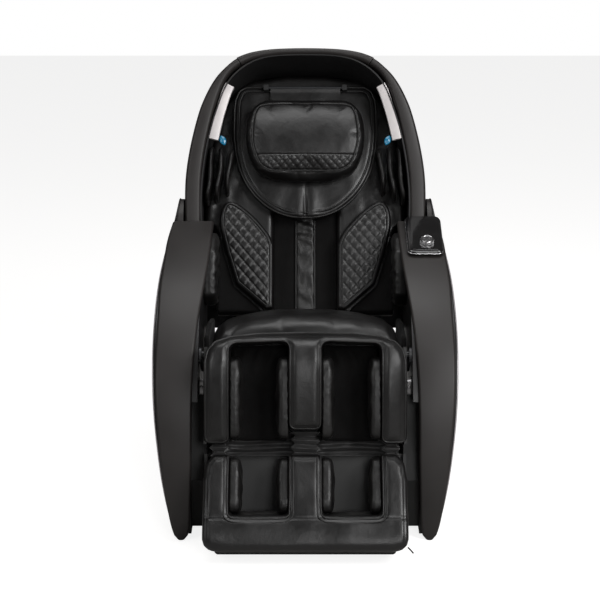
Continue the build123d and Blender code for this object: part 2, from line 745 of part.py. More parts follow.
strip_half = 26.0
slot_half = 92.0
slot_top = 500.0
pad_half = 258.0
pad_foot = 28.0
with BuildPart() as back_base_pad:
    # upholstered panel behind the separate cushions, open down the middle for the massage rollers
    add(slab(whole(liner_line, wing_foot - 15), pad_rear, pad_front))
    with BuildSketch(back.offset(pad_rear)):
        with Locations((0, (pad_foot + wing_foot - 15) / 2)):
            Rectangle(2 * pad_half, wing_foot - 15 - pad_foot)
    extrude(amount=pad_front - pad_rear)
    with Locations(back * Location((0, 760 + 60, 0))):
        Box(700, 120, 200, mode=Mode.SUBTRACT)
    with BuildSketch(back.offset(pad_rear)):
        with Locations((0, slot_top / 2)):
            Rectangle(2 * slot_half, slot_top)
    extrude(amount=pad_front - pad_rear, mode=Mode.SUBTRACT)
save(back_base_pad.part, "back_base_pad")

with BuildPart() as centre_strip:
    with BuildSketch(back.offset(-6)):
        with Locations((0, (pad_foot + slot_top) / 2)):
            Rectangle(2 * strip_half, slot_top - pad_foot)
    extrude(amount=10)
save(centre_strip.part, "back_centre_strip")

with BuildPart() as stretch_panels:
    with BuildSketch(back.offset(-6)):
        with Locations(*[(side * (strip_half + slot_half) / 2, (pad_foot + slot_top) / 2)
                         for side in (-1, 1)]):
            Rectangle(slot_half - strip_half, slot_top - pad_foot)
    extrude(amount=4)
save(stretch_panels.part, "back_stretch_panels")

with BuildPart() as back_wing:
    # quilted side cushion: straight inner edge, arched top, lower corner cut away
    with BuildSketch(back.offset(pad_front)):
        with BuildLine():
            Polyline((slot_half, 230), (slot_half, 38), (116, 36), (202, 112), (232, 207))
            Spline((232, 207), (250, 290), (242, 345), (212, 360), (160, 325), (110, 268), (slot_half, 230))
        make_face()
    extrude(amount=wing_front - pad_front)
save_pair(back_wing.part, "back_wing")

with BuildPart() as hip_panel:
    with BuildSketch(back.offset(pad_front)):
        with BuildLine():
            Polyline((120, 34), (256, 34), (256, 255), (248, 262), (236, 207), (206, 111), close=True)
        make_face()
    extrude(amount=8)
save(both_sides(hip_panel.part), "hip_panels")

with BuildPart() as bib:
    with BuildSketch(back.offset(pad_front)):
        with BuildLine():
            half = [(211, 640), (210, 545), (194, 460), (160, 392), (110, 342), (55, 316), (0, 310)]
            Spline(*half, *[(-x, s) for x, s in reversed(half[:-1])])
            Polyline((-211, 640), (-196, 700), (-176, 712), (176, 712), (196, 700), (211, 640))
        make_face()
    extrude(amount=bib_front - pad_front)
save(bib.part, "bib")

flap_half = 104.0
rod_s, rod_n, rod_radius = 704.0, bib_front + 9, 4.0
clip_x = 116.0
with BuildPart() as bib_clips:
    for side in (-1, 1):
        with BuildSketch(back_side.offset(side * clip_x - 7)):
            with BuildLine():
                Polyline((rod_s - 10, bib_front), (rod_s - 8, rod_n + 7), (rod_s + 8, rod_n + 7),
                         (rod_s + 8, bib_front), close=True)
            make_face()
            with Locations((rod_s, rod_n)):
                Circle(rod_radius + pin_clearance, mode=Mode.SUBTRACT)
        extrude(amount=14)
save(bib_clips.part, "bib_clips")

pillow_half = 166.0
pillow_low, pillow_high = 407.0, 637.0
pillow_front = 138.0
with BuildPart() as head_pillow:
    # stuffed pillow, the flap it hangs by and the rod in the flap's hem
    with BuildSketch(back_side.offset(-pillow_half)):
        with BuildLine():
            Polyline((pillow_high, bib_front + 2), (pillow_low + 20, bib_front + 2))
            Spline((pillow_low + 20, bib_front + 2), (pillow_low, 84), (pillow_low + 14, 122),
                   (pillow_low + 60, 136), (530, pillow_front), (590, 122), (pillow_high - 6, 86),
                   (pillow_high, bib_front + 2))
        make_face()
    extrude(amount=2 * pillow_half)
    with BuildSketch(back.offset(bib_front)):
        with BuildLine():
            half = [(pillow_half - 34, pillow_high + 1), (pillow_half - 8, 590), (pillow_half, 520),
                    (pillow_half - 16, 450), (pillow_half - 60, pillow_low - 1)]
            Spline(*half)
            Line((pillow_half - 60, pillow_low - 1), (60 - pillow_half, pillow_low - 1))
            Spline(*[(-x, s) for x, s in half])
            Line((34 - pillow_half, pillow_high + 1), (pillow_half - 34, pillow_high + 1))
        make_face()
    extrude(amount=120, mode=Mode.INTERSECT)
    with BuildSketch(back.offset(bib_front + 4)):
        with Locations((0, (pillow_high + rod_s) / 2 - 4)):
            Rectangle(2 * flap_half, rod_s - pillow_high + 10)
    extrude(amount=5)
    with BuildSketch(back_side.offset(-clip_x - 7)):
        with Locations((rod_s, rod_n)):
            Circle(rod_radius)
    extrude(amount=2 * clip_x + 14)
save(head_pillow.part, "head_pillow")

with BuildPart() as shoulder_airbags:
    for x, low, high, reach in ((222, 370, 500, 92), (250, 348, 505, 104), (277, 336, 505, 112)):
        with BuildSketch(back_side.offset(x - 5)):
            with BuildLine():
                Polyline((low, pad_front), (low + 8, reach - 12), (low + 30, reach), (high - 30, reach),
                         (high - 6, reach - 18), (high, pad_front), close=True)
            make_face()
        extrude(amount=10)
save(both_sides(shoulder_airbags.part), "shoulder_airbags")

# ---------------------------------------------------------------- massage mechanism
pivot_depth = -83.0
axle_depth = -48.0
plate_face = bar_rear + 12 + slide_clearance
carriage_half = 44.0
with BuildPart() as carriage:
    with Locations(back * Location((0, carriage_rest, plate_face))):
        Box(2 * guide_x + 24, 2 * carriage_half, 6, align=(Align.CENTER, Align.CENTER, Align.MIN))
    with Locations(back * Location((0, carriage_rest, plate_face + 6))):
        Box(66, 60, 44, align=(Align.CENTER, Align.CENTER, Align.MIN))
    for side in (-1, 1):
        with Locations(back * Location((side * (guide_x + 9), carriage_rest, plate_face))):
            Box(7, 2 * carriage_half, 11, align=(Align.CENTER, Align.CENTER, Align.MAX))
        with Locations(back * Location((side * 78, carriage_rest, plate_face + 6))):
            Box(6, 30, pivot_depth + 10 - plate_face - 6, align=(Align.CENTER, Align.CENTER, Align.MIN))
        with BuildSketch(back_side.offset(side * 70 - 10)):
            with Locations((carriage_rest, pivot_depth)):
                Circle(6)
        extrude(amount=20)
save(carriage.part, "massage_carriage")

axles = [(carriage_rest + roller_spread, axle_depth), (carriage_rest - roller_spread, axle_depth)]
for side, sign in (("left", 1), ("right", -1)):
    with BuildPart() as roller_arm:
        with BuildSketch(back_side.offset(sign * 69 - 3)):
            with BuildLine():
                Polyline((carriage_rest, pivot_depth - 13), (carriage_rest + roller_spread, axle_depth - 11),
                         (carriage_rest + roller_spread, axle_depth + 10), (carriage_rest, pivot_depth + 13),
                         (carriage_rest - roller_spread, axle_depth + 10),
                         (carriage_rest - roller_spread, axle_depth - 11), close=True)
            make_face()
            with Locations(*axles):
                Circle(11)
            with Locations((carriage_rest, pivot_depth)):
                Circle(13)
                Circle(6 + pin_clearance, mode=Mode.SUBTRACT)
        extrude(amount=6)
        with BuildSketch(back_side.offset(sign * 54 - 18)):
            with Locations(*axles):
                Circle(5)
        extrude(amount=36)
    save(roller_arm.part, f"{side}_roller_arm")
    for place, offset in (("upper", roller_spread), ("lower", -roller_spread)):
        with BuildPart() as roller:
            with BuildSketch(back_side.offset(sign * 52 - roller_width / 2)):
                with Locations((carriage_rest + offset, axle_depth)):
                    Circle(roller_radius)
                    Circle(5 + pin_clearance, mode=Mode.SUBTRACT)
            extrude(amount=roller_width)
            fillet(roller.edges().filter_by(GeomType.CIRCLE).sort_by(lambda e: e.radius)[-2:], 7)
        save(roller.part, f"{side}_{place}_roller")

# ---------------------------------------------------------------- leg rest
leg_rear = -56.0
skin = 8.0
calf_foot = -calf_length
well_back = -22.0
side_in = leg_half_width - skin
rod_x, rod_depth, slide_radius = 228.0, -36.0, 8.0
tube_radius = 13.0
calf_front_line = [(calf_foot, 52), (-221, 56), (-120, 80), (-42, 88), (6, 78), (38, 46)]


def leg_end(s):
    """Plane square to the leg rest at a distance s along it."""
    return Plane(origin=leg.from_local_coords((0, s, 0)), x_dir=(1, 0, 0), z_dir=leg_up)


with BuildPart() as calf_frame:
    with BuildSketch(leg.offset(leg_rear)):
        with Locations((0, (calf_foot - 4) / 2)):
            Rectangle(2 * leg_half_width, -calf_foot - 4)
    extrude(amount=skin)
    for side in (-1, 1):
        with BuildSketch(leg_side.offset(side * (leg_half_width - skin / 2) - skin / 2)):
            with BuildLine():
                Polyline((calf_foot, leg_rear), (-4, leg_rear), (16, -20), (16, 20), (-30, 30),
                         (calf_foot, 30), close=True)
            make_face()
            with Locations((0, 0)):
                Circle(20)
                Circle(hinge_pin_radius + pin_clearance, mode=Mode.SUBTRACT)
        extrude(amount=skin)
        with BuildSketch(leg_end(calf_foot)):
            with Locations((side * rod_x, -rod_depth)):
                Circle(tube_radius)
        extrude(amount=-calf_foot - 40)
    for side in (-1, 1):
        with BuildSketch(leg_end(calf_foot)):
            with Locations((side * rod_x, -rod_depth)):
                Circle(slide_radius + slide_clearance)
        extrude(amount=-calf_foot - 40, mode=Mode.SUBTRACT)
save(calf_frame.part, "calf_frame")


def leg_block(points, low, high):
    """A side profile of the leg rest between two distances from the middle plane."""
    with BuildPart() as block:
        with BuildSketch(leg_side.offset(low)):
            with BuildLine():
                Polyline(*points, close=True)
            make_face()
        extrude(amount=high - low)
    return block.part


roll_foot = -18.0
calf_centre = leg_block([(calf_foot, leg_rear + skin)] + calf_front_line[:4] + [(roll_foot, 85),
                        (roll_foot, leg_rear + skin)], -divider_half_width, divider_half_width)
calf_outer = leg_block([(calf_foot, -20)] + calf_front_line[:4] + [(roll_foot, 85), (roll_foot, -20)],
                       well_half_width, side_in)
calf_roll = leg_block([(roll_foot, leg_rear + skin), (roll_foot, 85), (6, 78), (38, 46), (calf_top - 3, 0),
                       (46, -34), (14, leg_rear + skin + 2), (-4, leg_rear + skin)], -side_in, side_in)
save(Compound(children=[*calf_centre.solids(), *calf_roll.solids(), *both_sides(calf_outer).solids()]),
     "calf_cushion")

calf_pad = leg_block([(calf_foot + 5, leg_rear + skin), (calf_foot + 5, well_back), (roll_foot, well_back),
                      (roll_foot, leg_rear + skin)], divider_half_width, well_half_width)
save(both_sides(calf_pad), "calf_pads")

airbag = 14.0


def well_airbags(points):
    """Two airbags on the side walls of each leg well."""
    inner = leg_block(points, divider_half_width, divider_half_width + airbag)
    outer = leg_block(points, well_half_width - airbag, well_half_width)
    return Compound(children=[*both_sides(inner).solids(), *both_sides(outer).solids()])


save(well_airbags([(-222, -14), (-222, 34), (-205, 46), (-60, 66), (-34, 56), (-30, -14)]), "calf_airbags")

foot_top = calf_foot - foot_gap
bellows_wall = 3.0
with BuildPart() as leg_bellows:
    # folded fabric skirt that closes the gap between calf rest and foot rest
    for inset, mode in ((0, Mode.ADD), (bellows_wall, Mode.SUBTRACT)):
        with BuildSketch(leg_end(foot_top)):
            with BuildLine():
                front, back_edge, mid = -40 + inset, 52 - inset, 22 + inset
                Polyline((-252 + inset, front), (-200 - inset, front), (-200 - inset, mid),
                         (-41 + inset, mid), (-41 + inset, front), (41 - inset, front),
                         (41 - inset, mid), (200 + inset, mid), (200 + inset, front),
                         (252 - inset, front), (252 - inset, back_edge), (-252 + inset, back_edge),
                         close=True)
            make_face()
        extrude(amount=foot_gap, mode=mode)
save(leg_bellows.part, "leg_bellows")

sole_top = foot_top - foot_length + 6
with BuildPart() as foot_frame:
    with BuildSketch(leg.offset(leg_rear)):
        with Locations((0, (foot_top + sole_top - 6) / 2)):
            Rectangle(2 * leg_half_width, foot_top - sole_top + 6)
    extrude(amount=skin)
    for side in (-1, 1):
        with BuildSketch(leg_side.offset(side * (leg_half_width - skin / 2) - skin / 2)):
            with BuildLine():
                Polyline((sole_top, leg_rear), (foot_top, leg_rear), (foot_top, -20), (sole_top, -20),
                         close=True)
            make_face()
        extrude(amount=skin)
        with Locations(leg * Location((side * rod_x, foot_top - 16, (leg_rear + skin - 22) / 2))):
            Box(30, 32, 26)
        with BuildSketch(leg_end(foot_top - 30)):
            with Locations((side * rod_x, -rod_depth)):
                Circle(slide_radius)
        extrude(amount=-calf_foot - 44 + foot_gap + 30)
save(foot_frame.part, "foot_frame")

foot_edge = [(foot_top, 45), (foot_top - 30, 60), (sole_top, 104)]
foot_centre = leg_block([(foot_top, leg_rear + skin)] + foot_edge + [(sole_top, leg_rear + skin)],
                        -divider_half_width, divider_half_width)
foot_outer = leg_block([(foot_top, -20)] + foot_edge + [(sole_top, -20)], well_half_width, leg_half_width)
save(Compound(children=[*foot_centre.solids(), *both_sides(foot_outer).solids()]), "foot_bolsters")

roller_s, roller_n, foot_roller_radius = sole_top - 12.0, 26.0, 20.0
recess_half = 26.0
well_x = (divider_half_width + well_half_width) / 2
with BuildPart() as foot_sole:
    # toe panel and front lip; the recesses hold the foot rollers on their axles
    add(leg_block([(sole_top, leg_rear + skin), (sole_top, 104), (-490, 124), (-523, 122), (-529, 108),
                   (-468, leg_rear + skin)], -leg_half_width, leg_half_width))
    for side in (-1, 1):
        with Locations(leg * Location((side * well_x, roller_s + 4, roller_n))):
            Box(112, 2 * recess_half, 2 * recess_half, mode=Mode.SUBTRACT)
        with BuildSketch(leg_side.offset(side * well_x - 57)):
            with Locations((roller_s, roller_n)):
                Circle(5)
        extrude(amount=114)
save(foot_sole.part, "foot_sole")

save(well_airbags([(sole_top + 10, -14), (sole_top + 14, 74), (foot_top - 40, 40), (foot_top - 14, 26),
                   (foot_top - 10, -14)]), "foot_airbags")

for side, sign in (("left", 1), ("right", -1)):
    with BuildPart() as foot_roller:
        with BuildSketch(leg_side.offset(sign * well_x - 52)):
            with Locations((roller_s, roller_n)):
                Circle(foot_roller_radius)
                Circle(5 + pin_clearance, mode=Mode.SUBTRACT)
        extrude(amount=104)
        chamfer(foot_roller.edges().filter_by(GeomType.CIRCLE).sort_by(lambda e: e.radius)[-2:], 2)
    save(foot_roller.part, f"{side}_foot_roller")
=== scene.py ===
import bpy
import bmesh
import math
import json
import numpy as np
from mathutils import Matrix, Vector, noise


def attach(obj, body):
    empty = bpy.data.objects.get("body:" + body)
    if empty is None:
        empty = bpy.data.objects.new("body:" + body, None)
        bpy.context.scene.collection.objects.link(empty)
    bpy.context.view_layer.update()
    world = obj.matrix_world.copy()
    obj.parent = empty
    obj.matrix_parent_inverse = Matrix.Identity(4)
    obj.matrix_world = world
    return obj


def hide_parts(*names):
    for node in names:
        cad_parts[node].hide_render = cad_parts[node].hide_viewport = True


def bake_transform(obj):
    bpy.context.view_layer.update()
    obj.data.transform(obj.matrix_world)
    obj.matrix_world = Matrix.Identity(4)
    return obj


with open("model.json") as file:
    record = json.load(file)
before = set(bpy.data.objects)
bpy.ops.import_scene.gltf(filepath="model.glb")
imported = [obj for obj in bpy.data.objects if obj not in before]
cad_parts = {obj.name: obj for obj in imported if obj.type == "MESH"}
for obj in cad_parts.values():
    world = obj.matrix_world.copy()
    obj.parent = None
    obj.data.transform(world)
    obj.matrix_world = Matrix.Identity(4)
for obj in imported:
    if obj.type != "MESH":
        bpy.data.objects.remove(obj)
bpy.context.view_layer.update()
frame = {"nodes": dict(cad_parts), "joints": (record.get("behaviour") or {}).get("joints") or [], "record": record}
joints = {joint["name"]: joint for joint in frame["joints"]}
mm = 0.001
print("frame loaded:", len(frame["nodes"]), "nodes")

# the two leaning planes that the cushions are drawn on, taken from the slides' directions
backUp = np.array(joints["carriage_travel"]["axis"], float)
backOut = np.array([0, -backUp[2], backUp[1]])
backFoot = np.array([0, 0.130, 0.430])
legUp = -np.array(joints["foot_slide"]["axis"], float)
legOut = np.array([0, -legUp[2], legUp[1]])
legHinge = np.array(joints["leg_lift"]["pos_m"], float)


def onPlane(foot, up, out, x, s, n):
    x, s, n = np.broadcast_arrays(np.asarray(x, float), np.asarray(s, float), np.asarray(n, float))
    return foot + mm * (x[..., None] * np.array([1.0, 0, 0]) + s[..., None] * up + n[..., None] * out)


def onBack(x, s, n):  # across, along and in front of the back plane, in millimetres
    return onPlane(backFoot, backUp, backOut, x, s, n)


def onLeg(x, s, n):  # the same for the leg rest, counted from its hinge
    return onPlane(legHinge, legUp, legOut, x, s, n)


def onSide(y, z, x):  # the outside of an arm, drawn in side view
    y, z, x = np.broadcast_arrays(np.asarray(y, float), np.asarray(z, float), np.asarray(x, float))
    return mm * np.stack([x, y, z], axis=-1)


# curves and outlines

def measured(points, closed=False):
    points = np.asarray(points, float)
    if closed:
        points = np.vstack([points, points[:1]])
    steps = np.linalg.norm(np.diff(points, axis=0), axis=1)
    return points, np.concatenate([[0], np.cumsum(steps)])


def evenly(points, count, closed=False):
    points, along = measured(points, closed)
    spots = np.linspace(0, along[-1], count + 1 if closed else count)
    even = np.stack([np.interp(spots, along, points[:, k]) for k in range(points.shape[1])], axis=1)
    return even[:-1] if closed else even


def smoothLine(points, count):  # open curve through the points, then spaced evenly
    points = np.asarray(points, float)
    ends = np.vstack([2 * points[0] - points[1], points, 2 * points[-1] - points[-2]])
    fine = []
    for a, b, c, d in zip(ends, ends[1:], ends[2:], ends[3:]):
        for t in np.linspace(0, 1, 12, endpoint=False):
            fine.append(0.5 * (2 * b + (c - a) * t + (2 * a - 5 * b + 4 * c - d) * t ** 2
                               + (3 * b - a - 3 * c + d) * t ** 3))
    fine.append(points[-1])
    return evenly(fine, count)


def filleted(points, radius, step=4.0):  # closed outline whose corners are arcs of one radius
    points = np.asarray(points, float)
    out = []
    for before, corner, after in zip(np.roll(points, 1, axis=0), points, np.roll(points, -1, axis=0)):
        toBefore, toAfter = before - corner, after - corner
        lengthA, lengthB = np.linalg.norm(toBefore), np.linalg.norm(toAfter)
        toBefore, toAfter = toBefore / lengthA, toAfter / lengthB
        half = 0.5 * math.acos(np.clip(toBefore @ toAfter, -1, 1))
        cut = min(radius / max(math.tan(half), 0.05), 0.48 * lengthA, 0.48 * lengthB)
        for t in np.linspace(0, 1, 9):
            out.append((1 - t) ** 2 * (corner + cut * toBefore) + 2 * t * (1 - t) * corner
                       + t ** 2 * (corner + cut * toAfter))
    points, along = measured(out, closed=True)
    return evenly(points[:-1], max(24, int(along[-1] / step)), closed=True)


def offsetLoop(loop, distance):  # closed loop moved inwards
    loop = np.asarray(loop, float)
    along = np.roll(loop, -1, axis=0) - np.roll(loop, 1, axis=0)
    along /= np.maximum(np.linalg.norm(along, axis=1), 1e-9)[:, None]
    inward = np.stack([-along[:, 1], along[:, 0]], axis=1)
    area = 0.5 * np.sum(loop[:, 0] * np.roll(loop[:, 1], -1) - loop[:, 1] * np.roll(loop[:, 0], -1))
    return loop + inward * distance * (1 if area > 0 else -1)


def edgeDistance(spots, outline):
    spots, outline = np.asarray(spots, float), np.asarray(outline, float)
    best = np.full(len(spots), 1e9)
    for a, b in zip(outline, np.roll(outline, -1, axis=0)):
        edge = b - a
        t = unit(((spots - a) @ edge) / max(edge @ edge, 1e-12))
        best = np.minimum(best, np.linalg.norm(spots - (a + t[:, None] * edge), axis=1))
    return best


def unit(value):
    return np.clip(value, 0, 1)


def bell(distance, width):  # 1 at no distance, fading to nothing over about two widths
    return np.exp(-(distance / width) ** 2)


# mesh makers

def newPiece(name, points, faces):
    mesh = bpy.data.meshes.new(name)
    mesh.from_pydata([tuple(p) for p in np.asarray(points, float).reshape(-1, 3)], [],
                     [tuple(f) for f in faces])
    piece = bpy.data.objects.new(name, mesh)
    bpy.context.scene.collection.objects.link(piece)
    return piece


def pointOutwards(piece):
    work = bmesh.new()
    work.from_mesh(piece.data)
    bmesh.ops.remove_doubles(work, verts=work.verts, dist=1e-6)
    bmesh.ops.recalc_face_normals(work, faces=work.faces)
    work.to_mesh(piece.data)
    work.free()
    return piece


def ringShell(name, rings):  # closed form through rings of equal count, with a pole at each end
    count = len(rings[0])
    points = [np.mean(rings[0], axis=0)]
    for ring in rings:
        points.extend(ring)
    points.append(np.mean(rings[-1], axis=0))
    faces = []
    for j in range(count):
        faces.append((0, 1 + (j + 1) % count, 1 + j))
        last = 1 + (len(rings) - 1) * count
        faces.append((len(points) - 1, last + j, last + (j + 1) % count))
    for i in range(len(rings) - 1):
        for j in range(count):
            a, b = 1 + i * count + j, 1 + i * count + (j + 1) % count
            faces.append((a, b, b + count, a + count))
    return pointOutwards(newPiece(name, points, faces))


def joined(name, pieces):
    work = bmesh.new()
    for piece in pieces:
        work.from_mesh(piece.data)
        bpy.data.objects.remove(piece)
    mesh = bpy.data.meshes.new(name)
    work.to_mesh(mesh)
    work.free()
    whole = bpy.data.objects.new(name, mesh)
    bpy.context.scene.collection.objects.link(whole)
    return whole


def settled(piece):  # modifiers made permanent
    graph = bpy.context.evaluated_depsgraph_get()
    mesh = bpy.data.meshes.new_from_object(piece.evaluated_get(graph), depsgraph=graph)
    piece.modifiers.clear()
    piece.data = mesh
    return piece


def coords(piece):
    flat = np.zeros(len(piece.data.vertices) * 3)
    piece.data.vertices.foreach_get("co", flat)
    return flat.reshape(-1, 3)


def setCoords(piece, points):
    piece.data.vertices.foreach_set("co", np.asarray(points, float).ravel())
    piece.data.update()
    return piece


def panel(name, outline, place, low, high, edge=4.0, crown=0.0, rings=6, lowEdge=1.0):
    # plate on an outline: rounded at both faces' edges, its front face crowned towards the middle
    outline = np.asarray(outline, float)
    centre = outline.mean(axis=0)
    layers = []
    for t in np.linspace(0.1, 1, 3):
        layers.append((centre + (offsetLoop(outline, lowEdge) - centre) * t, low))
    for t in np.linspace(0, 1, 3)[1:]:
        layers.append((offsetLoop(outline, lowEdge * (1 - t)), low + lowEdge * t))
    for angle in np.linspace(0, math.pi / 2, 5):
        inset = edge * (1 - math.cos(angle))
        layers.append((offsetLoop(outline, inset), high - edge + edge * math.sin(angle)))
    inner = offsetLoop(outline, edge)
    for t in np.linspace(1, 0.06, rings)[1:]:
        layers.append((centre + (inner - centre) * t, high + crown * (1 - t ** 2)))
    return ringShell(name, [place(loop[:, 0], loop[:, 1], level) for loop, level in layers])


def remeshed(piece, size):
    rebuild = piece.modifiers.new("remesh", "REMESH")
    rebuild.mode = "VOXEL"
    rebuild.voxel_size = size * mm
    return settled(piece)


def softPad(name, outline, place, low, high, roundness=20.0, voxel=5.0, shape=None, crown=0.0, backRound=4.0):
    # stuffed form on any outline: low and high are numbers or functions of (u, v)
    outline = np.asarray(outline, float)
    depth = 40.0
    count = len(outline)
    prism = newPiece(name, np.vstack([np.column_stack([outline, np.zeros(count)]),
                                      np.column_stack([outline, np.full(count, depth)])]) * mm,
                     [tuple(range(count)), tuple(range(count, 2 * count))]
                     + [(j, (j + 1) % count, count + (j + 1) % count, count + j) for j in range(count)])
    pointOutwards(prism)
    remeshed(prism, voxel)
    flat = coords(prism) / mm
    u, v, h = flat[:, 0], flat[:, 1], unit(flat[:, 2] / depth)
    away = edgeDistance(flat[:, :2], outline)
    lowAt = low(u, v) if callable(low) else np.full(len(u), float(low))
    highAt = high(u, v) if callable(high) else np.full(len(u), float(high))
    roundAt = np.minimum(roundness, 0.9 * (highAt - lowAt))
    rest = unit(1 - away / np.maximum(roundAt, 1e-6))
    drop = roundAt * (1 - np.sqrt(np.maximum(1 - rest ** 2, 0)))
    backRest = unit(1 - away / backRound)
    backDrop = backRound * (1 - np.sqrt(np.maximum(1 - backRest ** 2, 0)))
    level = lowAt + backDrop * (1 - h) + (highAt - drop + crown * unit(away / 90) - lowAt) * h
    if shape:
        level = level + shape(u, v, away, h) * h
    return setCoords(prism, place(u, v, level))


def inflated(piece, cap, pressure=4.0, frames=20):
    # filled like a cushion for a few steps; each point may move no more than cap
    before = coords(piece)
    scene = bpy.context.scene
    cloth = piece.modifiers.new("cloth", "CLOTH")
    cloth.settings.use_pressure = True
    cloth.settings.uniform_pressure_force = pressure
    cloth.settings.quality = 4
    cloth.settings.mass = 0.4
    cloth.settings.tension_stiffness = 12
    cloth.settings.compression_stiffness = 12
    cloth.settings.bending_stiffness = 0.6
    cloth.settings.effector_weights.gravity = 0
    cloth.point_cache.frame_start, cloth.point_cache.frame_end = 1, frames
    for step in range(1, frames + 1):
        scene.frame_set(step)
    graph = bpy.context.evaluated_depsgraph_get()
    mesh = bpy.data.meshes.new_from_object(piece.evaluated_get(graph), depsgraph=graph)
    piece.modifiers.clear()
    piece.data = mesh
    after = coords(piece)
    move = after - before
    length = np.maximum(np.linalg.norm(move, axis=1), 1e-9)
    setCoords(piece, before + move * np.minimum(1, cap * mm / length)[:, None])
    scene.frame_set(1)
    return piece


def subdivided(piece, levels=1):
    finer = piece.modifiers.new("subdivision", "SUBSURF")
    finer.levels = finer.render_levels = levels
    return settled(piece)


def tube(name, path, radius, closed=False, sides=8):  # round cord of leather or wire along a path in metres
    curve = bpy.data.curves.new(name, "CURVE")
    curve.dimensions = "3D"
    curve.bevel_depth = radius * mm
    curve.bevel_resolution = max(1, sides // 4)
    curve.use_fill_caps = not closed
    spline = curve.splines.new("POLY")
    spline.points.add(len(path) - 1)
    for point, place in zip(spline.points, path):
        point.co = (*place, 1)
    spline.use_cyclic_u = closed
    holder = bpy.data.objects.new(name, curve)
    bpy.context.scene.collection.objects.link(holder)
    graph = bpy.context.evaluated_depsgraph_get()
    mesh = bpy.data.meshes.new_from_object(holder.evaluated_get(graph), depsgraph=graph)
    bpy.data.objects.remove(holder)
    piece = bpy.data.objects.new(name, mesh)
    bpy.context.scene.collection.objects.link(piece)
    return pointOutwards(piece)


def flipped(piece, name):  # mirror image across the middle plane
    twin = piece.copy()
    twin.data = piece.data.copy()
    twin.name = twin.data.name = name
    bpy.context.scene.collection.objects.link(twin)
    setCoords(twin, coords(twin) * [-1, 1, 1])
    twin.data.flip_normals()
    return twin


def roundBar(width, height, radius, steps=4):  # section of a bar, corners rounded, from its lower left
    corners = [(radius, radius, math.pi), (width - radius, radius, 1.5 * math.pi),
               (width - radius, height - radius, 0), (radius, height - radius, 0.5 * math.pi)]
    section = []
    for x, y, start in corners:
        for step in range(steps + 1):
            angle = start + step / steps * math.pi / 2
            section.append((x + radius * math.cos(angle), y + radius * math.sin(angle)))
    return np.array(section)


def wrinkles(points, size, depth, seed=0.0, stretch=(1, 1, 1)):  # smooth uneven folds, in millimetres
    scaled = np.asarray(points) / mm / size * np.array(stretch) + seed
    return depth * np.array([noise.noise(Vector(p)) for p in scaled])


def flatWrinkles(u, v, size, depth, seed=0.0, stretch=(1, 1, 1)):  # the same on a flat outline
    return wrinkles(np.stack([u, v, 0 * u], 1) * mm, size, depth, seed, stretch)


# finishes

def toLinear(code):
    parts = [int(code[k:k + 2], 16) / 255 for k in (1, 3, 5)]
    return [*(c / 12.92 if c <= 0.04045 else ((c + 0.055) / 1.055) ** 2.4 for c in parts), 1.0]


def addNode(tree, kind, settings=None, links=None):  # one node with its values and incoming links
    node = tree.nodes.new(kind)
    for key, value in (settings or {}).items():
        if isinstance(key, int) or key in node.inputs:
            node.inputs[key].default_value = value
        else:
            setattr(node, key, value)
    for key, source in (links or {}).items():
        tree.links.new(source, node.inputs[key])
    return node


finishes = {}


def newFinish(slot, name, base, worn, rough, bumps, patch=60, stretch=(1, 1, 1), **sockets):
    # base and worn are the two shades that drift into each other over patches of the given size in mm;
    # rough is the range of roughness; bumps are (texture, feature size in mm, height in mm)
    finish = bpy.data.materials.new(name)
    finish.use_nodes = True
    tree = finish.node_tree
    tree.nodes.clear()
    place = addNode(tree, "ShaderNodeTexCoord").outputs["Object"]
    place = addNode(tree, "ShaderNodeMapping", {"Scale": stretch}, {"Vector": place}).outputs["Vector"]
    drift = addNode(tree, "ShaderNodeTexNoise", {"Scale": 1000 / patch, "Detail": 3.0, "Roughness": 0.6},
                    {"Vector": place}).outputs["Fac"]
    shade = addNode(tree, "ShaderNodeValToRGB", links={"Fac": drift})
    shade.color_ramp.elements[0].position, shade.color_ramp.elements[1].position = 0.35, 0.68
    shade.color_ramp.elements[0].color = toLinear(base)
    shade.color_ramp.elements[1].color = toLinear(worn)
    roughness = addNode(tree, "ShaderNodeMapRange", {"From Min": 0.3, "From Max": 0.7, "To Min": rough[0],
                                                     "To Max": rough[1]}, {"Value": drift}).outputs["Result"]
    values = {"Base Color": shade.outputs["Color"], "Roughness": roughness}
    normal = None
    for kind, size, height in bumps:
        texture = addNode(tree, kind, {"Scale": 1000 / size}, {"Vector": place})
        if kind == "ShaderNodeTexNoise":
            texture.inputs["Detail"].default_value = 4.0
        if kind == "ShaderNodeTexVoronoi":
            texture.feature = "SMOOTH_F1"
            texture.inputs["Smoothness"].default_value = 0.6
        out = texture.outputs["Distance" if kind == "ShaderNodeTexVoronoi" else "Fac"]
        links = {"Height": out}
        if normal:
            links["Normal"] = normal
        normal = addNode(tree, "ShaderNodeBump", {"Strength": 1.0, "Distance": height * mm},
                         links).outputs["Normal"]
    if normal:
        values["Normal"] = normal
    shader = addNode(tree, "ShaderNodeBsdfPrincipled", sockets, values)
    addNode(tree, "ShaderNodeOutputMaterial", links={"Surface": shader.outputs["BSDF"]})
    finishes[slot] = finish
    return finish


noiseTex, cellTex, waveTex = "ShaderNodeTexNoise", "ShaderNodeTexVoronoi", "ShaderNodeTexWave"

# polyurethane leather, embossed with a pebble grain: soft sheen that breaks up at the grain's edges;
# the grain is drawn 2 mm wide, about twice the real one, so that it shows
newFinish("leather_black", "BlackPebbledLeather", "#0a0909", "#100f0f", (0.34, 0.46),
          [(cellTex, 2.0, 0.10), (noiseTex, 22, 0.9)], 70, **{"Specular IOR Level": 0.5})
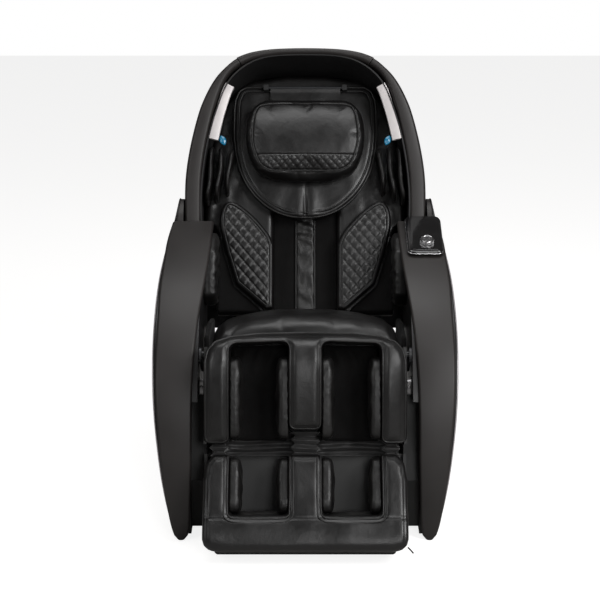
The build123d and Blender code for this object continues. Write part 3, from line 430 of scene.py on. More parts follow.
# thinner and softer leather on the airbags, with fine creases
newFinish("leather_airbag", "SoftAirbagLeather", "#0b0a0a", "#141312", (0.38, 0.52),
          [(cellTex, 1.8, 0.07), (noiseTex, 14, 1.4)], 45, **{"Specular IOR Level": 0.5})
# ABS with a moulded leather grain, painted warm grey: matte with a broad highlight
newFinish("arm_grey", "GrainedWarmGreyAbs", "#201d1c", "#262322", (0.46, 0.56),
          [(cellTex, 2.2, 0.07), (noiseTex, 0.9, 0.03)], 160, **{"Specular IOR Level": 0.45})
# the hood's padded rim, wrapped in the same grained skin
newFinish("hood_grey", "GrainedHoodAbs", "#1f1c1b", "#252221", (0.42, 0.54),
          [(cellTex, 2.2, 0.07), (noiseTex, 0.9, 0.03)], 140, **{"Specular IOR Level": 0.45})
# matte moulded ABS inside the hood: fine spark texture, no gloss
newFinish("hood_dark", "MatteHoodLining", "#070607", "#0b0a0b", (0.58, 0.7), [(noiseTex, 1.2, 0.05)], 90)
# satin ABS of the outer shells: spark-eroded texture with a low gloss
newFinish("shell_black", "SatinBlackAbs", "#121112", "#181718", (0.34, 0.44), [(noiseTex, 1.0, 0.035)], 200)
# polypropylene tub: duller, faintly mottled
newFinish("tub_plastic", "MatteBlackPolypropylene", "#141414", "#1c1c1b", (0.5, 0.62),
          [(noiseTex, 1.4, 0.06)], 120)
# metallic silver paint: flakes give a fine glitter under a clear coat
newFinish("silver_paint", "SilverMetallicPaint", "#b3aeb1", "#bdb8bb", (0.3, 0.38),
          [(noiseTex, 0.8, 0.012)], 90,
          **{"Metallic": 0.55, "Coat Weight": 0.5, "Coat Roughness": 0.12})
# silver trims in the hood: satin metallised plastic
newFinish("trim_silver", "SatinMetallisedTrim", "#cdc8c8", "#d8d3d2", (0.3, 0.4), [(noiseTex, 0.8, 0.01)], 60,
          **{"Metallic": 0.25, "Coat Weight": 0.3, "Coat Roughness": 0.2})
# polycarbonate lens lit from behind
newFinish("lamp_blue", "LitBlueLens", "#0c4258", "#125268", (0.18, 0.26), [(noiseTex, 3, 0.02)], 12,
          **{"Emission Color": toLinear("#11749c"), "Emission Strength": 0.5, "IOR": 1.58})
# glossy black polycarbonate over the control pad: clear reflections with faint orange peel
newFinish("pad_gloss", "GlossBlackPolycarbonate", "#0c0b0c", "#111011", (0.12, 0.2), [(noiseTex, 9, 0.012)],
          60, **{"Coat Weight": 0.8, "Coat Roughness": 0.06, "IOR": 1.58})
# satin chrome on the knob: turned, slightly streaked
newFinish("knob_silver", "SatinChrome", "#c9c8c9", "#b4b3b5", (0.18, 0.3), [(noiseTex, 0.7, 0.01)], 8,
          **{"Metallic": 1.0})
# elastane knit stretched over the rollers' slot: dull, with a fine rib
newFinish("stretch_black", "StretchKnit", "#040303", "#070606", (0.84, 0.94),
          [(waveTex, 3.0, 0.10), (noiseTex, 2, 0.06)], 40,
          **{"Specular IOR Level": 0.22, "Sheen Weight": 0.04, "Sheen Roughness": 0.4})
# woven nylon skirt: plain weave, drawn 2 mm across
newFinish("bellows_black", "WovenNylonSkirt", "#080707", "#0d0b0b", (0.5, 0.66),
          [(cellTex, 2.0, 0.12), (noiseTex, 12, 0.8)], 40,
          **{"Sheen Weight": 0.2, "Sheen Roughness": 0.5})
# moulded rubber feet
newFinish("rubber_black", "MouldedRubber", "#101010", "#191918", (0.7, 0.85), [(noiseTex, 1.5, 0.08)], 20)
# nylon caster tread, scuffed
newFinish("wheel_grey", "GreyNylonTread", "#3a3a3c", "#4a4a4b", (0.4, 0.6), [(noiseTex, 2.5, 0.06)], 16)
# massage rollers: cream polyurethane, slightly translucent skin
newFinish("roller_cream", "CreamPolyurethane", "#cfc4ab", "#ddd3bd", (0.35, 0.5), [(noiseTex, 3, 0.04)], 18,
          **{"Subsurface Weight": 0.08, "Subsurface Radius": (0.004, 0.003, 0.002)})
# zinc die casting: pitted grey skin
newFinish("arm_die_cast", "ZincDieCasting", "#6d6e70", "#7d7e80", (0.38, 0.55), [(noiseTex, 1.6, 0.05)], 20,
          **{"Metallic": 0.9})
# powder-coated tube: orange peel a few millimetres wide
newFinish("frame_steel", "PowderCoatedSteel", "#1b1c1e", "#232427", (0.4, 0.52), [(noiseTex, 3.0, 0.05)], 50)
# ground steel rails: streaks along the travel
newFinish("rail_steel", "GroundSteel", "#8f9194", "#a4a6a8", (0.22, 0.36), [(noiseTex, 1.2, 0.02)], 14,
          (6, 1, 1), **{"Metallic": 1.0})
# zinc-plated brackets beside the leg rest
newFinish("bracket_grey", "ZincPlatedSteel", "#8b8a8b", "#a09fa0", (0.3, 0.46), [(noiseTex, 2.2, 0.02)], 12,
          **{"Metallic": 0.85})
# control box and pump housings: textured ABS
newFinish("box_black", "TexturedBlackAbs", "#161617", "#1e1e1f", (0.5, 0.62), [(noiseTex, 1.1, 0.05)], 60)
# bonded nylon thread
newFinish("thread", "BlackNylonThread", "#1b1a1a", "#262524", (0.5, 0.62), [(noiseTex, 0.6, 0.02)], 5)
print("finishes made:", len(finishes))

recordSlots = {part["node"]: part["material_slot"] for part in frame["record"]["subparts"]}
painted = {"left_arm_core": "shell_black", "right_arm_core": "shell_black", "seat_frame": "frame_steel"}
for nodeName, node in frame["nodes"].items():  # every carried-over part gets its real finish
    node.data.materials.clear()
    node.data.materials.append(finishes[painted.get(nodeName, recordSlots[nodeName])])


def fit(piece, body, slot, stands=(), sharp=50):
    piece.data.materials.clear()
    piece.data.materials.append(finishes[slot])
    piece.data.shade_smooth()
    piece.data.set_sharp_from_angle(angle=math.radians(sharp))
    if body:
        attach(piece, body)
    if stands:
        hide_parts(*stands)
    return piece


def sides(piece, name):  # left piece and its mirror image
    piece.name = piece.data.name = "left_" + name
    return {"left": piece, "right": flipped(piece, "right_" + name)}


def fitSides(piece, name, body, slot, node=None):  # the same finish and node on both sides
    for side, half in sides(piece, name).items():
        fit(half, body, slot, [side + "_" + node] if node else ())


# stitches, made along any path by one node tree

def newTree(label, **sizes):  # a tree with its named inputs: a float for each size, and a finish
    tree = bpy.data.node_groups.new(label, "GeometryNodeTree")
    tree.interface.new_socket("Geometry", in_out="INPUT", socket_type="NodeSocketGeometry")
    for name, value in sizes.items():
        kind = "NodeSocketInt" if isinstance(value, int) else "NodeSocketFloat"
        tree.interface.new_socket(name, in_out="INPUT", socket_type=kind).default_value = value
    tree.interface.new_socket("Finish", in_out="INPUT", socket_type="NodeSocketMaterial")
    tree.interface.new_socket("Geometry", in_out="OUTPUT", socket_type="NodeSocketGeometry")
    return tree, addNode(tree, "NodeGroupInput").outputs


def closeTree(tree, given, row):  # instances made real and given their finish
    real = addNode(tree, "GeometryNodeRealizeInstances", {}, {"Geometry": row.outputs["Instances"]})
    done = addNode(tree, "GeometryNodeSetMaterial", {}, {"Geometry": real.outputs["Geometry"],
                                                         "Material": given["Finish"]})
    addNode(tree, "NodeGroupOutput", {}, {"Geometry": done.outputs["Geometry"]})
    return tree


def setInputs(holder, tree, values):
    maker = holder.modifiers.new("maker", "NODES")
    maker.node_group = tree
    for item in tree.interface.items_tree:
        if item.in_out == "INPUT" and item.name in values:
            maker[item.identifier] = values[item.name]
    return holder


def stitchTree():
    tree, given = newTree("stitchLine", Pitch=0.007, Length=0.005, Thickness=0.0011)
    points = addNode(tree, "GeometryNodeCurveToPoints", {"mode": "LENGTH"},
                     {"Curve": given["Geometry"], "Length": given["Pitch"]})
    bead = addNode(tree, "GeometryNodeMeshUVSphere", {"Segments": 6, "Rings": 4, "Radius": 0.5})
    size = addNode(tree, "ShaderNodeCombineXYZ", {}, {"X": given["Thickness"], "Y": given["Thickness"],
                                                      "Z": given["Length"]})
    shaped = addNode(tree, "GeometryNodeTransform", {}, {"Geometry": bead.outputs["Mesh"],
                                                         "Scale": size.outputs["Vector"]})
    turned = addNode(tree, "FunctionNodeAlignRotationToVector", {"axis": "Z"},
                     {"Vector": points.outputs["Tangent"]})
    row = addNode(tree, "GeometryNodeInstanceOnPoints", {}, {"Points": points.outputs["Points"],
                  "Instance": shaped.outputs["Geometry"], "Rotation": turned.outputs["Rotation"]})
    return closeTree(tree, given, row)


stitchLine = stitchTree()


def stitched(name, paths, body, pitch=7.0, length=5.0, thickness=1.1):
    curve = bpy.data.curves.new(name, "CURVE")
    curve.dimensions = "3D"
    for path in paths:
        spline = curve.splines.new("POLY")
        spline.points.add(len(path) - 1)
        for point, spot in zip(spline.points, path):
            point.co = (*spot, 1)
    holder = bpy.data.objects.new(name, curve)
    bpy.context.scene.collection.objects.link(holder)
    setInputs(holder, stitchLine, {"Pitch": pitch * mm, "Length": length * mm, "Thickness": thickness * mm,
                                   "Finish": finishes["thread"]})
    graph = bpy.context.evaluated_depsgraph_get()
    mesh = bpy.data.meshes.new_from_object(holder.evaluated_get(graph), depsgraph=graph)
    bpy.data.objects.remove(holder)
    piece = bpy.data.objects.new(name, mesh)
    bpy.context.scene.collection.objects.link(piece)
    return fit(piece, body, "thread")


def thickSheet(name, front, rear):  # closed plate between two grids of points that match
    rows, columns = front.shape[:2]
    points = np.vstack([front.reshape(-1, 3), rear.reshape(-1, 3)])
    far = rows * columns
    faces = []
    for i in range(rows - 1):
        for j in range(columns - 1):
            a = i * columns + j
            faces.append((a, a + 1, a + columns + 1, a + columns))
            faces.append((far + a, far + a + columns, far + a + columns + 1, far + a + 1))
    rim = [*range(columns), *(i * columns + columns - 1 for i in range(1, rows)),
           *((rows - 1) * columns + j for j in range(columns - 2, -1, -1)),
           *(i * columns for i in range(rows - 2, 0, -1))]
    for a, b in zip(rim, rim[1:] + rim[:1]):
        faces.append((a, far + a, far + b, b))
    return pointOutwards(newPiece(name, points, faces))


# arms

arms = {
    "line": [(150, 737), (60, 712), (-60, 672), (-160, 625), (-260, 555), (-340, 470), (-395, 370),
             (-425, 260), (-438, 150), (-438, 60), (-436, 0.5)],
    "coverEdges": [(760, 262, 372), (712, 264, 389), (672, 268, 393), (625, 276, 397), (555, 288, 397),
                   (470, 296, 398), (370, 299, 395), (260, 300, 386), (150, 302, 375), (60, 305, 361),
                   (24, 309, 353), (10, 314, 348), (2, 322, 340)],
    "thickness": 12.0, "edge": 7.0, "crown": 1.5,
    "sideLine": [(10, 334), (50, 352), (150, 372), (260, 386), (370, 396), (470, 400), (555, 400),
                 (625, 396), (672, 388), (712, 377), (745, 369), (830, 354)],
    "shell": 4.0, "panel": 3.5,
}


def sideX(z):
    table = smoothLine(arms["sideLine"], 200)
    return np.interp(z, table[:, 0], table[:, 1])


def armCover():
    line = smoothLine(arms["line"], 90)
    edges = smoothLine(arms["coverEdges"][::-1], 200)
    along = np.gradient(line, axis=0)
    along /= np.linalg.norm(along, axis=1)[:, None]
    outwards = np.stack([along[:, 1], -along[:, 0]], axis=1)  # up at the top, forwards at the front
    rings = []
    for (y, z), (ny, nz) in zip(line, outwards):
        inner, outer = np.interp(z, edges[:, 0], edges[:, 1]), np.interp(z, edges[:, 0], edges[:, 2])
        width = outer - inner
        bar = roundBar(width, arms["thickness"], min(arms["edge"], 0.4 * width), 6)
        lift = bar[:, 1] - arms["thickness"]
        lift = lift + arms["crown"] * unit(bar[:, 1] / arms["thickness"]) \
            * (1 - (2 * bar[:, 0] / width - 1) ** 2) - arms["crown"]
        rings.append(onSide(y + ny * lift, z + nz * lift, inner + bar[:, 0]))
    return ringShell("arm_cover", rings)


fitSides(armCover(), "arm_top", "base", "arm_grey", "arm_cover")

shellOutline = np.vstack([smoothLine([(-51, 663), (-154, 614), (-251, 545), (-329, 463), (-383, 365),
                                      (-412, 258), (-424, 150), (-423, 60), (-418, 4)], 60),
                          smoothLine([(236, 6), (304, 110), (344, 300), (362, 500), (352, 680), (296, 762),
                                      (212, 786), (160, 760)], 60),
                          [(152, 716), (144, 704), (60, 699)]])
panelOutline = np.vstack([smoothLine([(-424, 60), (-421, 150), (-409, 260), (-378, 365), (-324, 462),
                                      (-248, 541), (-154, 606), (-52, 652), (66, 690)], 50)[:-1],
                          smoothLine([(66, 690), (180, 640), (236, 500), (226, 300), (150, 130),
                                      (40, 40)], 50)[:-1],
                          [(40, 40), (-200, 49)]])


def sidePlate(u, v, level):
    return onSide(u, v, sideX(v) + level)


shell = panel("side_shell", evenly(shellOutline, 260, closed=True), sidePlate, 0.0, arms["shell"], 2.5)
fitSides(shell, "outer_shell", "base", "shell_black", "side_shell")
plate = panel("side_panel", filleted(panelOutline[::3], 14, 6), sidePlate, arms["shell"],
              arms["shell"] + arms["panel"], 2.8)
fitSides(plate, "silver_panel", "base", "silver_paint", "side_panel")


def shoulderCap():
    # the arm's skin turns in behind the cover, up to the side of the hood
    outline = evenly(np.vstack([smoothLine([(152, 700), (154, 722), (166, 757), (212, 784), (262, 776)], 40),
                                smoothLine([(262, 776), (286, 744), (268, 712), (210, 696)], 30)[1:],
                                [(180, 696)]]), 90, closed=True)

    def place(u, v, level):
        outer = sideX(v)
        return onSide(u, v, 351.5 + (outer - 351.5) * level)

    return panel("shoulder_cap", outline, place, 0.0, 1.0, 0.25, 0.0, lowEdge=0.02)


fitSides(shoulderCap(), "shoulder_cap", "base", "arm_grey")


def armPad():
    outline = filleted([(-38, 566), (-24, 632), (10, 684), (70, 704), (130, 712), (134, 640), (118, 566),
                        (76, 532), (0, 524)], 20, 3)

    def ruches(u, v, away, h):
        gathers = 2.2 * np.sin(v / 7.0 + 0.05 * u + 2.0 * np.sin(u / 31.0))
        return gathers * unit(away / 14) + flatWrinkles(u, v, 24, 2.0, 3.1)

    return subdivided(softPad("arm_pad", outline, lambda u, v, t: onSide(u, v, 285 - t), 0.0, 38.0,
                              15, 4.0, ruches))


fitSides(armPad(), "arm_side_pad", "base", "leather_airbag", "arm_pad")
print("arms made")

# control pad and knob on the left arm

control = {"slope": 18.4, "origin": (340.0, 8.0, 672 + 68 / 3), "thickness": 16.0,
           "corner": 20.0, "knob": 20.0, "ribs": 36}
slope = math.radians(control["slope"])
padAlong = np.array([0, math.cos(slope), math.sin(slope)])
padUp = np.array([0, -math.sin(slope), math.cos(slope)])


def onPad(u, v, level):
    return onPlane(np.array(control["origin"]) * mm, padAlong, padUp, u, v, level)


padShape = filleted([(-54, -50), (44, -50), (44, 142), (-54, 142)], control["corner"], 3)
pad = panel("control_housing", padShape, onPad, 4.0, control["thickness"], 4.0, 0.6)
fit(pad, "base", "pad_gloss", ["control_pad"])
bead = tube("control_pad_bead", onPad(*offsetLoop(padShape, -0.6).T, 9.0), 1.6, closed=True)
fit(bead, "base", "knob_silver")
touchFace = panel("control_touch_face", filleted([(-44, -40), (34, -40), (34, 132), (-44, 132)], 12, 3),
                  onPad, 15.6, 17.0, 0.8)
fit(touchFace, "base", "pad_gloss")


def knobTree():  # grip ribs round the knob's rim
    tree, given = newTree("knobRibs", Count=control["ribs"], Radius=0.02)
    ring = addNode(tree, "GeometryNodeMeshCircle", {}, {"Vertices": given["Count"],
                                                        "Radius": given["Radius"]})
    rib = addNode(tree, "GeometryNodeMeshCylinder", {"Vertices": 6, "Radius": 0.0008, "Depth": 0.007})
    row = addNode(tree, "GeometryNodeInstanceOnPoints", {}, {"Points": ring.outputs["Mesh"],
                                                             "Instance": rib.outputs["Mesh"]})
    return closeTree(tree, given, row)


def knob():
    turn = np.linspace(0, 2 * math.pi, 64, endpoint=False)
    r = control["knob"]
    profile = [(r - 1.5, 16.5), (r - 0.8, 17.2), (r - 0.8, 25.5), (r - 1.6, 27.2), (r - 3.4, 28.2),
               (r - 4.4, 27.8), (r - 5.2, 26.9), (6.0, 27.3), (0.5, 27.4)]
    body = ringShell("knob", [onPad(a * np.cos(turn), a * np.sin(turn), level) for a, level in profile])
    holder = settled(setInputs(newPiece("ribs", [(0, 0, 0)], []), knobTree(),
                               {"Count": control["ribs"], "Radius": (r - 0.8) * mm,
                                "Finish": finishes["knob_silver"]}))
    flat = coords(holder) / mm
    setCoords(holder, onPad(flat[:, 0], flat[:, 1], flat[:, 2] + 21.3))
    return joined("control_knob_cap", [body, holder])


fit(knob(), "knob", "knob_silver", ["control_knob"])
print("control pad made")

# backrest shell and hood

hood = {
    "outer": [(297, 10), (306, 60), (320, 130), (336, 210), (348, 300), (347, 403), (336, 489), (316, 576),
              (297, 633),
              (267, 691), (242, 721), (213, 748), (180, 766), (125, 779), (60, 784), (0, 785)],
    "inner": [(302, 285), (301, 403), (291, 489), (275, 566), (260, 622), (240, 678), (212, 719), (168, 748),
              (115, 762), (60, 768), (0, 769)],
    "rear": [(-20, -88), (60, -116), (150, -146), (300, -191), (450, -220), (600, -217), (700, -189),
             (758, -136),
             (786, -45)],
    "rimFoot": 285.0, "rimThickness": 30.0, "wall": 4.0,
}


def rimFront(s):
    return 111 + (np.asarray(s, float) - 300) * (71 / 465)


def rearAt(s):
    table = smoothLine(hood["rear"], 200)
    return np.interp(s, table[:, 0], table[:, 1])


def backShell():
    edge = smoothLine(hood["outer"], 110)  # the last station closes the crown
    turn = np.linspace(0, math.pi, 61)
    outer, inner = [], []
    for w, s in edge:
        frontN = float(rimFront(s)) - hood["rimThickness"] + 4 if s > hood["rimFoot"] else -20.0
        frontN = -20 + (frontN + 20) * float(unit((s - 262) / 26))
        rearN = float(rearAt(s))
        power = 2 / 5.0
        c, d = np.cos(turn), np.sin(turn)
        for rows, wall in ((outer, 0.0), (inner, hood["wall"])):
            half, back = max(w - wall, 0.02), rearN + wall
            x = np.sign(c) * np.abs(c) ** power * half
            n = frontN + (back - frontN) * d ** power
            rows.append(onBack(x, max(s - wall * (s > 700), 10), n))
    return thickSheet("rear_shell", np.array(outer), np.array(inner))


shellPiece = backShell()
fit(shellPiece, "backrest", "shell_black", ["back_shell"])


# one small solid on every point of the mesh it is given, turned by one angle
def repeatTree(label, bead, sizes):
    tree, given = newTree(label, **dict.fromkeys([*sizes, "Tilt"], 0.0))
    item = bead(tree, given)
    tilt = addNode(tree, "ShaderNodeCombineXYZ", {}, {"X": given["Tilt"]})
    row = addNode(tree, "GeometryNodeInstanceOnPoints", {}, {"Points": given["Geometry"], "Instance": item,
                                                             "Rotation": tilt.outputs["Vector"]})
    return closeTree(tree, given, row)


def repeated(name, tree, points, values):
    return settled(setInputs(newPiece(name, points, []), tree, values))


def slatBead(tree, given):  # long louvre of eight sides
    size = addNode(tree, "ShaderNodeCombineXYZ", {}, {"X": given["Length"], "Y": given["Height"],
                                                      "Z": given["Depth"]})
    block = addNode(tree, "GeometryNodeMeshCylinder", {"Vertices": 8, "Radius": 0.5, "Depth": 1.0})
    lying = addNode(tree, "GeometryNodeTransform", {"Rotation": (0, math.pi / 2, 0)},
                    {"Geometry": block.outputs["Mesh"]})
    return addNode(tree, "GeometryNodeTransform", {}, {"Geometry": lying.outputs["Geometry"],
                                                       "Scale": size.outputs["Vector"]}).outputs["Geometry"]


def screwBead(tree, given):  # a disc under a low cone, whose flat top stands for the socket
    disc = addNode(tree, "GeometryNodeMeshCylinder", {"Vertices": 20, "Depth": 0.0016},
                   {"Radius": given["Radius"]})
    dome = addNode(tree, "GeometryNodeMeshCone", {"Vertices": 20, "Depth": 0.0016},
                   {"Radius Bottom": given["Radius"], "Radius Top": given["Socket"]})
    lifted = addNode(tree, "GeometryNodeTransform", {"Translation": (0, 0, 0.0008)},
                     {"Geometry": dome.outputs["Mesh"]})
    both = addNode(tree, "GeometryNodeJoinGeometry")
    for part in (disc.outputs["Mesh"], lifted.outputs["Geometry"]):
        tree.links.new(part, both.inputs["Geometry"])
    return both.outputs["Geometry"]


rear = {"slats": 9, "from": 92.0, "pitch": 11.0, "length": 190.0, "height": 5.0, "depth": 6.0,
        "screws": [(-150, 70), (150, 70), (-205, 330), (205, 330), (-190, 600), (190, 600)], "head": 7.0}


def rearFacing(s):  # turn about x that lays a solid on the shell's rear at that height, facing out
    step = onBack(0, s + 1, rearAt(s + 1)) - onBack(0, s - 1, rearAt(s - 1))
    return math.atan2(step[2], step[1]) + math.pi


slatsAt = rear["from"] + rear["pitch"] * np.arange(rear["slats"])
middle = float(slatsAt.mean())
louvres = repeated("rear_vent_louvres", repeatTree("louvreRow", slatBead, ("Length", "Height", "Depth")),
                   onBack(0, slatsAt, rearAt(slatsAt) - 0.5),
                   {"Length": rear["length"] * mm, "Height": rear["height"] * mm, "Depth": rear["depth"] * mm,
                    "Tilt": rearFacing(middle), "Finish": finishes["box_black"]})
fit(louvres, "backrest", "box_black")
screwTree = repeatTree("screwRow", screwBead, ("Radius", "Socket"))
screws = [repeated("screws", screwTree, onBack([float(x)], [float(s)], [float(rearAt(s)) - 0.8]),
                   {"Radius": rear["head"] * mm, "Socket": 0.0032, "Tilt": rearFacing(s),
                    "Finish": finishes["rail_steel"]})
          for x, s in rear["screws"]]
fit(joined("rear_shell_screws", screws), "backrest", "rail_steel")


def rimPart(name, low, high, grow=0.0):  # padded band between the hood's two outlines
    outer = smoothLine([p for p in hood["outer"] if p[1] > 290], 160)
    outer = smoothLine([(347.0, hood["rimFoot"])] + [tuple(p) for p in outer[::8]] + [tuple(outer[-1])], 160)
    inner = smoothLine(hood["inner"], 160)
    rings = []
    for t in np.linspace(low, high, max(8, int(150 * (high - low)))):
        k = t * 159
        a = np.array([np.interp(k, np.arange(160), outer[:, i]) for i in (0, 1)])
        b = np.array([np.interp(k, np.arange(160), inner[:, i]) for i in (0, 1)])
        across = b - a
        width = np.linalg.norm(across)
        across /= width
        bar = roundBar(width + 2 * grow, hood["rimThickness"] + grow, 9, 7)
        spot = a + np.outer(bar[:, 0] - grow, across)
        crown = 3.0 * (1 - (2 * bar[:, 0] / (width + 2 * grow) - 1) ** 2) - 3.0
        n = rimFront(spot[:, 1]) - hood["rimThickness"] + bar[:, 1] + crown * (bar[:, 1] > 12)
        rings.append(onBack(spot[:, 0], spot[:, 1], n))
    return ringShell(name, rings)


rightRim = rimPart("rim_side", 0.0, 0.715)
leftRim = flipped(rightRim, "rim_side_twin")
crownHalf = rimPart("rim_crown", 0.718, 1.0, 1.6)
crownTwin = flipped(crownHalf, "rim_crown_twin")
fit(joined("hood_rim_band", [rightRim, leftRim, crownHalf, crownTwin]), "backrest", "hood_grey", ["hood_rim"])


def outlineX(line, s):  # x of an outline at a height, where it is a function of it
    table = smoothLine(line, 200)
    return np.interp(s, table[:, 1], table[:, 0])


def hoodTrim():
    s = np.linspace(526, 686, 40)
    edge = outlineX(hood["inner"], s)
    slopeX = np.gradient(edge, s)
    rings = []
    for sAt, x, k in zip(s, edge, slopeX):
        normal = np.array([1, -k]) / math.hypot(1, k)
        bar = roundBar(28, 11, 3, 4)
        spotX = x - 4.5 - normal[0] * bar[:, 0]
        spotS = sAt - normal[1] * bar[:, 0]
        n = rimFront(spotS) - 18 + bar[:, 1] - 0.10 * bar[:, 0]
        rings.append(onBack(spotX, spotS, n))
    return ringShell("hood_trim", rings)


fitSides(hoodTrim(), "hood_silver_trim", "backrest", "trim_silver", "hood_trim")


def lampLens():
    turn = np.linspace(0, 2 * math.pi, 40, endpoint=False)
    lean = math.radians(66)
    length, width = 15.0, 9.0
    loop = np.stack([length * np.cos(turn), width * np.sin(turn) * np.abs(np.sin(turn)) ** 0.7], 1)
    turned = np.stack([loop[:, 0] * math.cos(lean) - loop[:, 1] * math.sin(lean),
                       loop[:, 0] * math.sin(lean) + loop[:, 1] * math.cos(lean)], 1) + [239.6, 524]
    high = float(rimFront(524)) - 18
    return panel("lamp", turned, onBack, high - 11, high - 2.5, 2.5, 2.0)


fitSides(lampLens(), "lamp_lens", "backrest", "lamp_blue", "lamp")
print("hood made")

# back cushions

def offsetOpen(line, distance):  # half outline moved towards the middle
    line = np.asarray(line, float)
    tangent = np.gradient(line, axis=0)
    tangent /= np.linalg.norm(tangent, axis=1)[:, None]
    return line + np.stack([-tangent[:, 1], tangent[:, 0]], 1) * distance


def basePad():
    # rear upholstery: wide under the hood, narrower by the hips, open in the middle for the rollers
    hoodSide = [p for p in offsetOpen(hood["inner"], 7) if 300 < p[1] < 752]
    right = [(92, 28), (256, 28), (257, 268), (266, 284), (294, 300),
             *(tuple(p) for p in hoodSide), (60, 759)]
    outline = np.array(right + [(-x, s) for x, s in right[::-1]] + [(-92, 500), (92, 500)], float)

    def folds(u, v, away, h):
        side = unit((np.abs(u) - 150) / 60) * unit((v - 270) / 60)
        creases = flatWrinkles(u, v, 46, 5.0, 9.2, (1.5, 0.7, 1)) + flatWrinkles(u, v, 17, 1.6, 2.2)
        return side * creases * unit(away / 12)

    return subdivided(softPad("back_pad", outline, onBack, -10.0, 21.0, 16, 6.0, folds), 1)


fit(basePad(), "backrest", "leather_black", ["back_base_pad"])


def stretchSheet():
    x, s = np.meshgrid(np.linspace(-91, 91, 60), np.linspace(29, 499, 120))
    pull = 0.8 * np.sin(x / 9.0 + 0.6 * np.sin(s / 80)) * unit((91 - np.abs(x)) / 15)
    sag = -3.0 * bell(np.abs(x) - 58, 26) * unit((s - 29) / 60) * unit((499 - s) / 60)
    level = -4.0 + pull + sag
    return thickSheet("stretch_sheet", onBack(x, s, level), onBack(x, s, level - 1.0))


stretchPiece = fit(stretchSheet(), "backrest", "stretch_black", ["back_stretch_panels"])


def centreStrip():
    outline = filleted([(-26, 29), (26, 29), (26, 500), (-26, 500)], 5, 4)

    def ruche(u, v, away, h):
        waves = 2.0 * np.sin(v / 7.5 + u / 16.0 + 2.2 * np.sin(v / 47.0)) * unit(away / 8)
        return waves + flatWrinkles(u, v, 15, 1.6, 5.0) - 1.0

    return subdivided(softPad("centre_strip", outline, onBack, -2.0, 7.0, 6, 3.5, ruche))


fit(centreStrip(), "backrest", "leather_airbag", ["back_centre_strip"])
for sign in (-1, 1):
    s = np.linspace(32, 498, 120)
    fit(tube("strip_piping_%s" % ("left" if sign > 0 else "right"),
             onBack(sign * 27.5 + 0 * s, s, 1.5 + 0 * s), 2.0),
        "backrest", "leather_black")

wing = {"straight": [(92, 230), (92, 38), (116, 36), (202, 112)],
        "curve": [(232, 207), (250, 290), (242, 345), (212, 360), (160, 325), (110, 268), (92, 230)],
        "low": 22.0, "high": 56.0, "pitch": 22.5, "groove": 2.8, "puff": 1.2, "lean": 50.0}


def quilted(u, v, pitch, groove, puff, lean):  # diamond quilting: stitched valleys and puffed fields
    a, b = math.cos(math.radians(lean)), math.sin(math.radians(lean))
    first, second = (u * b + v * a) / pitch, (u * b - v * a) / pitch
    nearFirst = np.abs(first - np.round(first)) * pitch
    nearSecond = np.abs(second - np.round(second)) * pitch
    valley = bell(nearFirst, 1.8) + bell(nearSecond, 1.8)
    field = (np.sin(math.pi * np.minimum(nearFirst / pitch * 2, 1) / 2)
             * np.sin(math.pi * np.minimum(nearSecond / pitch * 2, 1) / 2)) ** 0.6
    return puff * field - groove * np.minimum(valley, 1.2)


def backWing():
    outline = evenly(np.vstack([wing["straight"], smoothLine(wing["curve"], 60)[:-1]]), 150, closed=True)

    def quilt(u, v, away, h):
        inside = unit((away - 12) / 8)
        return (quilted(u, v, wing["pitch"], wing["groove"], wing["puff"], wing["lean"]) * inside
                - 3.0 * bell(away - 11, 2.2))

    stuffed = softPad("wing", outline, onBack, wing["low"], wing["high"], 15, 3.0, quilt, 3.0)
    return subdivided(stuffed), outline


wingPiece, wingEdge = backWing()
fitSides(wingPiece, "quilted_wing", "backrest", "leather_black", "back_wing")
wingCord = offsetLoop(wingEdge, 10.5)
fitSides(tube("wing_piping", onBack(*wingCord.T, 55.0), 2.2, closed=True), "wing_piping", "backrest",
         "leather_airbag")


def hipPanels():
    outline = filleted([(120, 34), (256, 34), (256, 255), (248, 262), (236, 207), (206, 111)], 8, 4)

    def soft(u, v, away, h):
        return flatWrinkles(u, v, 50, 3.0, 1.7) * unit(away / 16)

    right = subdivided(softPad("hip", outline, onBack, 20.0, 30.0, 8, 4.0, soft))
    return joined("hip_cloth", [right, flipped(right, "hip_twin")])


fit(hipPanels(), "backrest", "stretch_black", ["hip_panels"])

bib = {"half": [(211, 640), (210, 545), (194, 460), (160, 392), (110, 342), (55, 316), (0, 310)],
       "low": 22.0, "high": 52.0}


def bibShape():
    curve = smoothLine(bib["half"][::-1], 60)  # from the middle of its foot up the right side
    right = np.vstack([curve, [(208, 672), (196, 700), (176, 712)]])
    return evenly(np.vstack([right, right[::-1][:-1] * [-1, 1]]), 260, closed=True)


def bibPad():
    outline = bibShape()

    def drape(u, v, away, h):
        low = unit((430 - v) / 90)
        crease = -5.5 * bell(u, 4.0) * low
        ridges = 4.0 * bell(np.abs(u) - 20, 15) * low - 2.2 * bell(np.abs(u) - 62, 22) * low
        seam = -2.6 * bell(away - 16, 2.4)
        soft = flatWrinkles(u, v, 70, 2.6, 4.4, (1.4, 0.8, 1))
        return crease + ridges + seam + soft * unit(away / 30)

    stuffed = softPad("bib_cushion", outline, onBack, bib["low"], bib["high"], 13, 4.0, drape, 3.0)
    return subdivided(stuffed), outline


bibPiece, bibEdge = bibPad()
fit(bibPiece, "backrest", "leather_black", ["bib"])
for inset, level, thick, name in ((1.5, 46.0, 3.0, "bib_outer_piping"),
                                  (15.0, 52.0, 2.2, "bib_inner_piping")):
    loop = offsetLoop(bibEdge, inset)
    fit(tube(name, onBack(*loop.T, level), thick, closed=True), "backrest", "leather_airbag")
loop = offsetLoop(bibEdge, 21.0)
stitched("bib_stitches", [onBack(*loop.T, 52.5)], "backrest")

# head pillow, its flap and the rod it swings on

